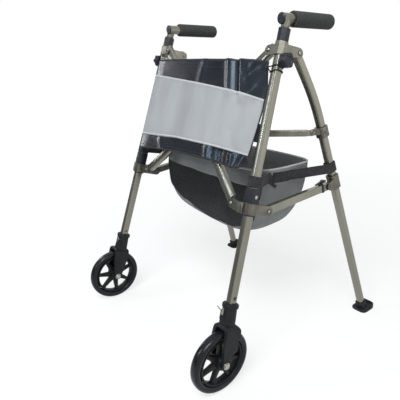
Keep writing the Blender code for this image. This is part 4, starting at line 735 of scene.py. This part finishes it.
# Cords and tabs that hold the panel: a thin black cord turned twice round each leg, just under the
# clamp's shank, and a webbing tab further down on the leg's inner face.
CORD_TURNS = ((-0.0125, -0.0150, -0.0310), (-0.0100, -0.0126, -0.0296), (-0.0040, -0.0117, -0.0284),
              (0.0050, -0.0117, -0.0266), (0.0106, -0.0070, -0.0258), (0.0110, 0.0060, -0.0262),
              (0.0055, 0.0117, -0.0280), (-0.0055, 0.0117, -0.0320), (-0.0110, 0.0060, -0.0370),
              (-0.0108, -0.0070, -0.0400), (-0.0045, -0.0117, -0.0392), (0.0050, -0.0117, -0.0370),
              (0.0106, -0.0070, -0.0358), (0.0110, 0.0060, -0.0358), (0.0055, 0.0117, -0.0370),
              (-0.0055, 0.0117, -0.0385), (-0.0112, 0.0060, -0.0395), (-0.0122, -0.0060, -0.0370),
              (-0.0128, -0.0150, -0.0335))
TAB_RUN = ((-0.0134, -0.0120), (-0.0126, -0.0085), (-0.0110, -0.0050), (-0.0104, 0.0000), (-0.0104, 0.0072))
CORD_THICK, KNOT_R, KNOT_HALF, TAB_UP = 0.0027, 0.0044, 0.0048, -0.1700


def through(points, n):
    """Smooth curve of n points through the given ones, by the Catmull-Rom rule."""
    p = np.array(points, float)
    p = np.vstack((2 * p[0] - p[1], p, 2 * p[-1] - p[-2]))
    t = np.linspace(0, len(points) - 1, n)
    i = np.minimum(t.astype(int), len(points) - 2)
    f = (t - i)[:, None]
    a, b, c, d = p[i], p[i + 1], p[i + 2], p[i + 3]
    return 0.5 * (2 * b + (c - a) * f + (2 * a - 5 * b + 4 * c - d) * f ** 2
                  + (3 * b - a - 3 * c + d) * f ** 3)


webbing = finish("black_webbing", (0.014, 0.014, 0.016), 0.72, specular=0.4,
                 mottle=(90, 4, (0.010, 0.010, 0.012), (0.022, 0.022, 0.025)),
                 weave=(0.0016, 0.0022, 0.00028, 0.7))
knot_turns = np.linspace(0.25, math.pi - 0.25, 9)
knot_profile = [(KNOT_R * math.sin(a), -KNOT_HALF * math.cos(a)) for a in knot_turns]
knot_profile = [(0.0, -KNOT_HALF), *knot_profile, (0.0, KNOT_HALF)]
cord_line = through([on_leg(*p) for p in CORD_TURNS], 220)
tab_line = through([on_leg(out, rear, TAB_UP) for out, rear in TAB_RUN], 30)
for side, mark in SIDES:
    cord = ribbon("tie_cord" + mark, cord_line, LEG_UP, CORD_THICK, CORD_THICK, (0.0066, 0.16), side, 10, 1.0)
    fit(cord, "leg" + mark, "webbing", webbing, "panel_cord" + mark)
    knot = turned_piece("cord_knot" + mark, knot_profile, on_leg(-0.0135, -0.0165, -0.0320), LEG_UP, 20, side)
    fit(knot, "leg" + mark, "webbing", webbing)
    tab = ribbon("panel_tab" + mark, tab_line, LEG_UP, 0.0400, 0.0013, (0.08, 0.03), side, 24, 0.25)
    fit(tab, "leg" + mark, "webbing", webbing)

# Clamp knobs: six round lobes whose outer edge is well rounded, a shallow dish in the face, and the boss
# and shank behind it that run into the hub.
KNOB_R, KNOB_THICK, LOBES, LOBE_DEPTH = 0.0165, 0.0200, 6, 0.0014
knob_centre = HUB + LEG_UP * -0.0160
knob_face = max(float(np.dot(np.array(v.co) - knob_centre, SIDE_OUT))
                for v in frame["nodes"]["clamp_knob_l"].data.vertices)
knob_back = knob_face - KNOB_THICK
knob_profile = [(0.0, knob_back), (0.80, knob_back), (0.94, knob_back + 0.0008), (1.0, knob_back + 0.0030)]
knob_profile += [(share, knob_face - depth) for share, depth in (
    (1.0, 0.0056), (0.985, 0.0036), (0.93, 0.0016), (0.84, 0.0004), (0.74, 0.0), (0.56, 0.0), (0.50, 0.0004),
    (0.45, 0.0016), (0.0, 0.0018))]
shank_profile = [(0.0, 0.0082), (0.0030, 0.0082), (0.0030, 0.0104), (0.0065, 0.0104),
                 (0.0065, knob_back + 0.0010), (0.0, knob_back + 0.0010)]


def lobed_points(n):
    """The knob's profile turned once round its axis, its radius smaller between the lobes."""
    points = turned_points([(share * KNOB_R, off) for share, off in knob_profile], knob_centre, SIDE_OUT, n)
    dip = 1 - np.cos(LOBES * full_turn(n))
    middle = knob_centre + np.array([off for _, off in knob_profile])[:, None, None] * SIDE_OUT
    return middle + (points - middle) * (1 - LOBE_DEPTH / KNOB_R * dip)[None, :, None]


for side, mark in SIDES:
    shells = [grid_piece("head", lobed_points(96), False, True, side=side, angle=60),
              turned_piece("shank", shank_profile, knob_centre, SIDE_OUT, 32, side)]
    fit(joined("lobed_knob" + mark, shells), "knob" + mark, "black_plastic", nylon, "clamp_knob" + mark)

# Small parts at the front leg's foot: the black dome of the spring button over the leg's hole, the block
# under the fork's wire pin and the bright plate beside it.
BUTTON_R, BUTTON_AT = 0.0042, (0.0095, 0.0, -0.5345)
button_profile = [(0, -0.0010), (BUTTON_R, -0.0010), (BUTTON_R, 0.0002), (BUTTON_R - 0.0008, 0.0008),
                  (0, 0.0011)]
UPRIGHTS = (
    # name, slot, material, way out from the leg's middle line, how far, top, foot, width and thickness
    ("pin_block", "fork_plastic", fork_nylon, (-0.550, -0.835), 0.0162, -0.5690, -0.5870, 0.0100, 0.0062),
    ("pin_plate", "rivet", zinc, (-0.120, -0.993), 0.0190, -0.5585, -0.5740, 0.0070, 0.0012))
for side, mark in SIDES:
    for name, slot, material, (out, rear), far, top, foot, width, thick in UPRIGHTS:
        way = LEG_OUT * out + REARWARD * rear
        line = [HUB + way * far + LEG_UP * z for z in np.linspace(top, foot, 5)]
        bar = ribbon(name + mark, line, np.cross(LEG_UP, way), width, thick, side=side, n=24, power=0.25)
        fit(bar, "leg" + mark, slot, material)
    button = turned_piece("leg_button" + mark, button_profile, on_leg(*BUTTON_AT), LEG_OUT, 24, side)
    fit(button, "leg" + mark, "black_plastic", nylon)

# Pouch: a sewn bag that hangs behind the arms from webbing between the legs. Its front is knitted net
# that ends below in a U of dark piping; rim, sides, back and bottom are grey polyester.
POUCH_LEVELS = np.array((
    # height, half width at front, middle and rear, and behind the hubs: front middle, front corner, side,
    # rear corner, rear middle
    (0.4700, 0.196, 0.214, 0.212, -0.043, -0.033, 0.055, 0.148, 0.158),
    (0.4400, 0.198, 0.216, 0.212, -0.049, -0.039, 0.053, 0.149, 0.160),
    (0.3950, 0.192, 0.209, 0.203, -0.056, -0.044, 0.048, 0.142, 0.154),
    (0.3480, 0.176, 0.192, 0.186, -0.058, -0.042, 0.044, 0.128, 0.141),
    (0.3080, 0.146, 0.166, 0.158, -0.050, -0.034, 0.040, 0.108, 0.122)))
RIM_TOP, RIM_DEPTH, POUCH_TILT = 0.4700, 0.0360, 0.070
POUCH_HEART = np.array((0, HUB[1] + 0.045, 0.42))
RIM_LOW = RIM_TOP - RIM_DEPTH
BAG_TURN, NET_TURN, LAST_LEVEL = 16, 2.35, 6.999
NET_WEB, NET_COLS, NET_ROWS = 0.20, 76, 22
U_SEAM = ((-0.205, -0.192, -0.172, -0.140, -0.100, -0.050, 0.000, 0.050, 0.110, 0.150, 0.178, 0.205),
          (0.425, 0.395, 0.368, 0.347, 0.336, 0.329, 0.324, 0.320, 0.319, 0.321, 0.333, 0.365))


def pouch_net():
    """Control points of the bag: sixteen round each level, mirrored but for a tilt that lowers +X."""
    rows = []
    for z, wf, wm, wr, yf, yc, ys, yrc, yr in POUCH_LEVELS:
        half = [(0, yf), (wf * 0.62, yf + 0.002), (wf, yc), (wm, (yc + ys) / 2), (wm, ys),
                ((wm + wr) / 2, (ys + yrc) / 2), (wr, yrc), (wr * 0.60, yrc + (yr - yrc) * 0.72), (0, yr)]
        hang = (RIM_TOP - z) / (RIM_TOP - POUCH_LEVELS[-1, 0])
        around = half + [(-x, y) for x, y in half[-2:0:-1]]
        rows.append([(x, HUB[1] + y, z - POUCH_TILT * hang * x) for x, y in around])
    low = np.array(rows[-1])
    middle = low.mean(0)
    for size, drop in ((0.62, 0.0015), (0.25, 0.0020), (0.0, 0.0020)):
        rows.append(middle + (low - middle) * (size, size, 1) - (0, 0, drop))
    return np.array([np.array(r, float) for r in rows])


BAG = pouch_net()


def spline_weights(f):
    """The four weights of a uniform cubic B-spline at share f between two of its points."""
    return np.stack(((1 - f) ** 3, 3 * f ** 3 - 6 * f ** 2 + 4,
                     -3 * f ** 3 + 3 * f ** 2 + 3 * f + 1, f ** 3), -1) / 6


def bag_point(turn, level, proud=0.0):
    """Point of the bag's wall. turn runs 0 to 16 round it from the middle of the front over the +X
    side; level runs 0 to 7 from the rim to the bottom's middle. proud moves it outwards."""
    turn, level = np.broadcast_arrays(np.asarray(turn, float), np.asarray(level, float))
    ends = np.concatenate((2 * BAG[:1] - BAG[1:2], BAG, 2 * BAG[-1:] - BAG[-2:-1]))
    i = np.clip(np.floor(level).astype(int), 0, len(BAG) - 2)
    j = np.floor(turn).astype(int)
    rows = ends[i[..., None, None] + np.arange(4)[:, None],
                (j[..., None, None] + np.arange(-1, 3)) % BAG_TURN]
    p = np.einsum("...a,...b,...abk->...k", spline_weights(level - i), spline_weights(turn - j), rows)
    if proud:
        p = p + unit(p - POUCH_HEART) * proud
    return p


wall_levels = np.linspace(0, 4, 400)
wall_heights = bag_point(0.0, wall_levels)[:, 2]


def level_at(z):
    """Level number at which the bag's wall is at this height."""
    return np.interp(-np.asarray(z, float), -wall_heights, wall_levels)


def seam_level(turns):
    """Level of the U-shaped seam under the net, lower on the walker's left where the bag sags."""
    heights = np.interp(bag_point(turns, level_at(0.40))[:, 0], *U_SEAM)
    return level_at(np.minimum(heights, RIM_LOW))


def pouch_wave(p, size):
    """Slack of the cloth: slow waves along the wall, which die out towards the mouth."""
    x, z = p[..., 0], p[..., 2]
    fade = np.clip((0.462 - z) / 0.05, 0, 1)
    return (size * fade * (np.sin(x * 46 + z * 30 + 0.6) + 0.6 * np.sin(x * 83 - z * 55)))[..., None]


def net_sheet(name):
    """Knitted net on the front wall: a grid of cells, each crossed by two threads from corner to corner.
    A cell is drawn between its corners, the points at NET_WEB of each edge from a corner and the four
    crotches round its middle, which leaves four holes. It ends at the bag's U-shaped seam."""
    turns = np.linspace(-NET_TURN, NET_TURN, NET_COLS + 1)
    top = level_at(RIM_LOW + 0.002)
    grid = bag_point(turns, top + (seam_level(turns) - top) * np.linspace(0, 1, NET_ROWS + 1)[:, None])
    grid = grid + pouch_wave(grid, 0.0016) * np.array((0, 1, 0.0))
    ring = [grid[:-1, :-1], grid[:-1, 1:], grid[1:, 1:], grid[1:, :-1]]
    centre = sum(ring) / 4
    points, faces = [centre], []
    for k in range(4):
        here, ahead, back = ring[k], ring[(k + 1) % 4], ring[(k + 3) % 4]
        points += [here, here + (ahead - here) * NET_WEB, here + (back - here) * NET_WEB,
                   centre + ((here + ahead) / 2 - centre) * NET_WEB]
        corner, crotch, last = 4 * k + 1, 4 * k + 4, 4 * ((k + 3) % 4) + 4
        faces += [(corner, corner + 1, crotch), (corner, crotch, 0),
                  (corner, 0, last), (corner, last, corner + 2)]
    cell = (np.arange(NET_COLS * NET_ROWS) * len(points))[:, None]
    mesh = bpy.data.meshes.new(name)
    mesh.from_pydata(np.stack(points, -2).reshape(-1, 3).tolist(), [],
                     np.concatenate([cell + np.array(face) for face in faces]).tolist())
    mended(mesh, 1e-6, False)
    return linked(name, mesh)


def pouch_sheet(name, points, uv_size):
    """Sheet of the grey cloth over a grid of the bag's points."""
    sheet = thickened(grid_piece(name, points, uv_size=uv_size, angle=80, outward=False), 0.0011)
    soft_on_cloth(sheet, "mesh_cloth", pouch_cloth)


pouch_cloth = finish("pouch_polyester", (0.20, 0.21, 0.215), 0.75, specular=0.3,
                     mottle=(16, 5, (0.182, 0.193, 0.189), (0.228, 0.242, 0.238)),
                     weave=(0.0014, 0.0014, 0.00016, 0.5))
net_thread = finish("net_thread", (0.009, 0.011, 0.012), 0.55, specular=0.2,
                    mottle=(120, 3, (0.006, 0.008, 0.009), (0.013, 0.016, 0.017)))
piping_cord = finish("piping", (0.020, 0.021, 0.024), 0.60,
                     mottle=(80, 3, (0.014, 0.015, 0.018), (0.030, 0.031, 0.034)),
                     grain=(900, 2, 0.00008, 0.6))
soft_on_cloth(thickened(net_sheet("pouch_front_net"), 0.0005), "mesh_cloth", net_thread, "pouch")

# grey underside in front, below the net's U, and the sides, back and bottom
turns = np.linspace(-NET_TURN, NET_TURN, 121)
start = seam_level(turns)
underside = bag_point(turns, start + (LAST_LEVEL - start) * np.linspace(0, 1, 30)[:, None])
pouch_sheet("pouch_underside", underside, (0.44, 0.16))
levels = np.concatenate((np.linspace(0.0, 4, 46), np.linspace(4, LAST_LEVEL, 22)[1:]))
walls = bag_point(np.linspace(NET_TURN, BAG_TURN - NET_TURN, 221), levels[:, None])
walls = walls + pouch_wave(walls, 0.0010) * np.array((0.3, 0.7, 0.0))
pouch_sheet("pouch_walls", walls, (0.86, 0.24))

# rim: a doubled band of the grey cloth round the mouth, with a rolled top edge
round_turns = np.linspace(0, BAG_TURN, 321)[:-1]
lip = RIM_TOP - 0.0001
RIM_SECTION = ((0.4705, 0.0006), (0.4690, 0.0012), (0.4500, 0.0013), (RIM_LOW + 0.003, 0.0013),
               (RIM_LOW, 0.0004), (RIM_LOW, -0.0012), (RIM_LOW + 0.003, -0.0020), (0.4500, -0.0020),
               (0.4690, -0.0019), (0.4705, -0.0013))
band_rows = [bag_point(round_turns, level_at(min(z, lip)), proud) + np.array((0, 0, max(z - lip, 0)))
             for z, proud in RIM_SECTION]
piece = grid_piece("pouch_rim_band", np.array(band_rows), True, True, uv_size=(1.15, 0.08), angle=60)
soft_on_cloth(piece, "mesh_cloth", pouch_cloth)
rim_line = bag_point(round_turns, 0.0) + np.array((0, 0, 0.0012))
roll = swept_points(rounded_loop(0.0052, 0.0046, 12, 0.9), np.vstack((rim_line, rim_line[:2])), (0, 0, 1.0))
piece = grid_piece("pouch_rim_roll", roll[:-2], True, True, uv_size=(0.016, 1.15))
soft_on_cloth(piece, "mesh_cloth", edge_tape)

# dark piping along the net's foot and up its ends
turns = np.linspace(-NET_TURN, NET_TURN, 181)
seam = bag_point(turns, seam_level(turns))
seam = seam + pouch_wave(seam, 0.0016) * np.array((0, 1, 0.0))
piece = ribbon("pouch_piping", seam, REARWARD, 0.0038, 0.0034, (0.012, 0.5), 1, 12, 1.0)
soft_on_cloth(piece, "mesh_cloth", piping_cord)
for side, mark in SIDES:
    line = bag_point(np.full(30, NET_TURN * side), level_at(np.linspace(RIM_LOW + 0.001, 0.405, 30)), 0.0006)
    piece = ribbon("pouch_corner_seam" + mark, line, ACROSS, 0.0034, 0.0026, (0.01, 0.06), 1, 10, 1.0)
    soft_on_cloth(piece, "mesh_cloth", piping_cord)

# two rows of stitches round the rim band
for name, z in (("stitch_rim_foot", RIM_LOW + 0.0045), ("stitch_rim_top", 0.4650)):
    line = bag_point(np.linspace(0, BAG_TURN, 641), level_at(z), 0.0014)
    outward = (line - POUCH_HEART) * (1, 1, 0)
    soft_on_cloth(stitch_row(name, line, outward, 0.0036), "mesh_cloth", grey_thread)

# Side straps: black webbing turned round the front leg, laid along the pouch and turned round the rear
# leg, with a snap where the pouch is buttoned on and a short loose end under it.
STRAP_HEIGHT, STRAP_THICK, STRAP_PLAY, WALL_GAP = 0.0250, 0.0018, 0.0009, 0.0019
LEG_HALF_W, LEG_HALF_D, REAR_HALF, REAR_IN = 0.0095, 0.0100, 0.00925, -0.0060
REAR_BEND, REAR_FOOT = np.array((0.1422, -0.0656)), np.array((0.5220, -0.5850))
FRONT_UP, REAR_DOWN = -0.2745, 0.170
LOOP_STEPS, MIDDLE_STEPS = 90, 120


def loop_round(origin, axes, half_x, half_y, start, end):
    """Arc of a rounded square round a tube, from start to end degrees."""
    a = np.radians(np.linspace(start, end, LOOP_STEPS))
    c, s = np.cos(a), np.sin(a)
    k = (np.abs(c) ** 6 + np.abs(s) ** 6) ** (-1 / 6)
    return placed(origin, axes, half_x * c * k, half_y * s * k)


def against_pouch(p):
    """The point p of the strap's line, moved in x so that the strap stands WALL_GAP off the solid pouch."""
    hits = [pouch_wall.ray_cast(Vector((p[0] + 0.05, p[1], p[2] + dz)), Vector((-1, 0, 0)))[0]
            for dz in (-0.5 * STRAP_HEIGHT, 0, 0.5 * STRAP_HEIGHT)]
    return max([h.x for h in hits if h] or [p[0]]) + WALL_GAP + STRAP_THICK / 2, p[1], p[2]


def eased_through(first, middle, last):
    """Column of values for the strap's line: one for each loop and a row between them."""
    return np.concatenate((np.full(LOOP_STEPS - 1, first), middle, np.full(LOOP_STEPS - 1, last)))[:, None]


pouch_solid = frame["nodes"]["pouch"].data
pouch_wall = BVHTree.FromPolygons([v.co for v in pouch_solid.vertices],
                                  [p.vertices for p in pouch_solid.polygons])
rear_down = (REAR_FOOT - REAR_BEND) / np.linalg.norm(REAR_FOOT - REAR_BEND)
rear_run = SIDE_REAR * rear_down[0] + LEG_UP * rear_down[1]
rear_fore = SIDE_REAR * rear_down[1] - LEG_UP * rear_down[0]
rear_centre = placed(HUB, (SIDE_OUT, SIDE_REAR, LEG_UP), REAR_IN, *REAR_BEND) + rear_run * REAR_DOWN
front_centre = on_leg(0.0, 0.0, FRONT_UP)
loose = STRAP_PLAY + STRAP_THICK / 2
front_loop = loop_round(front_centre, (LEG_OUT, REARWARD), LEG_HALF_W + loose, LEG_HALF_D + loose, 100, 400)
rear_loop = loop_round(rear_centre, (SIDE_OUT, -rear_fore), REAR_HALF + loose, REAR_HALF + loose, -40, 260)
between = [against_pouch(front_loop[-1] * (1 - t) + rear_loop[0] * t - (0, 0, 0.04 * t * (1 - t)))
           for t in (0.30 + 0.04 * i for i in range(8))]
middle = through([front_loop[-1], *between, rear_loop[0]], MIDDLE_STEPS)
strap_line = np.vstack((front_loop[:-1], middle, rear_loop[1:]))
lean = eased_through(0, np.linspace(0, 1, MIDDLE_STEPS), 1)
upright = eased_through(0, np.sin(np.linspace(0, math.pi, MIDDLE_STEPS)) ** 0.5, 0)
strap_up = (LEG_UP * (1 - lean) - rear_run * lean) * (1 - upright * (1.0, 0, 0))
snap_at = np.array(between[0]) + (0.0010, 0.004, 0)
snap_profile = [(0, -0.0022), (0.0062, -0.0022), (0.0066, -0.0014), (0.0066, -0.0004)]
snap_profile += [(0.0052 * math.cos(a) + 0.0008, 0.0022 * math.sin(a))
                 for a in np.radians(np.linspace(0, 90, 9))[:-1]]
snap_profile += [(0, 0.0022)]
tail_line = through([np.array(between[0]) + way for way in (
    (0.0016, 0.000, -0.004), (0.0022, 0.012, -0.013), (0.0030, 0.022, -0.021))], 24)
for side, mark in SIDES:
    strap = ribbon("side_webbing" + mark, strap_line, strap_up, STRAP_HEIGHT, STRAP_THICK, (0.054, 0.46),
                   side, 28, 0.22)
    strap.data.materials.append(webbing)
    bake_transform(strap)
    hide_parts("side_strap" + mark)
    snap = turned_piece("strap_snap" + mark, snap_profile, snap_at, (1, 0, 0), 32, side)
    fit(snap, "leg" + mark, "rivet", nylon)
    tail = ribbon("strap_tail" + mark, tail_line, (0, 0.75, 0.66), 0.0190, 0.0015, (0.04, 0.03),
                  side, 24, 0.25)
    fit(tail, "leg" + mark, "webbing", webbing)

# Rivets: polished domes on dark washers over the hinge pins of the hubs and the slide brackets.
EAR, ARM_HALF, RUN_CLEAR = 0.0030, 0.0075, 0.0006
RIVET_R, RIVET_HEIGHT, WASHER_RIM = 0.0036, 0.0021, 0.0023
FRAMES = {"side": (SIDE_OUT, SIDE_REAR, LEG_UP), "leg": (REARWARD, LEG_OUT, LEG_UP)}
rivet_steel = finish("rivet_steel", (0.34, 0.33, 0.30), 0.24, 0.95, shine=(200, 3, 0.20, 0.30))
dark_washer = finish("dark_washer", (0.035, 0.033, 0.030), 0.50, 0.4,
                     mottle=(200, 3, (0.028, 0.026, 0.024), (0.050, 0.047, 0.043)))
rivet_profile = [(0, -0.0004), (RIVET_R + WASHER_RIM, -0.0004), (RIVET_R + WASHER_RIM, 0.0003),
                 (RIVET_R, 0.0004)]
rivet_profile += [(RIVET_R * math.cos(a), 0.0004 + RIVET_HEIGHT * math.sin(a))
                  for a in np.radians(np.linspace(0, 90, 10))[:-1]]
rivet_profile += [(0, 0.0004 + RIVET_HEIGHT)]


def rivet_cap(name, centre, axis):
    """Dome over a dark washer: the faces outside or under the dome's foot get the washer's material."""
    cap = turned_piece(name, rivet_profile, centre, axis, 28)
    cap.data.materials.append(rivet_steel)
    cap.data.materials.append(dark_washer)
    for face in cap.data.polygons:
        middle = np.array(face.center) - centre
        up = middle @ axis
        face.material_index = int(np.linalg.norm(middle - up * axis) > RIVET_R + 0.0001 or up < 0.0002)
    return cap


for (side, mark), low_at, top_at in zip(SIDES, (-0.0100, 0.0100), (0.0100, -0.0100)):
    reach = ARM_HALF + RUN_CLEAR + EAR
    for stem, body, kind, spot, sense in (
            ("rivet_rear", "leg", "side", (REAR_IN + REAR_HALF + RUN_CLEAR + EAR, 0.0500, 0.0170), 1),
            ("rivet_brace", "slider", "side", (REAR_IN + reach, 0.0540, -0.3340), 1),
            ("rivet_top", "leg", "leg", (top_at - reach, -0.0360, 0.0118), -1),
            ("rivet_low", "slider", "leg", (low_at - reach, -0.0400, -0.3290), -1)):
        axes = FRAMES[kind]
        cap = rivet_cap(stem + mark, placed(HUB, axes, *spot), axes[0] * sense)
        if side < 0:
            cap.data.transform(Matrix.Diagonal((-1, 1, 1, 1)))
            cap.data.flip_normals()
        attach(cap, body + mark)

# CAD nodes that are seen and have no finish yet are nylon too
for node in frame["nodes"].values():
    if not node.hide_render and not node.data.materials:
        node.data.materials.append(nylon)
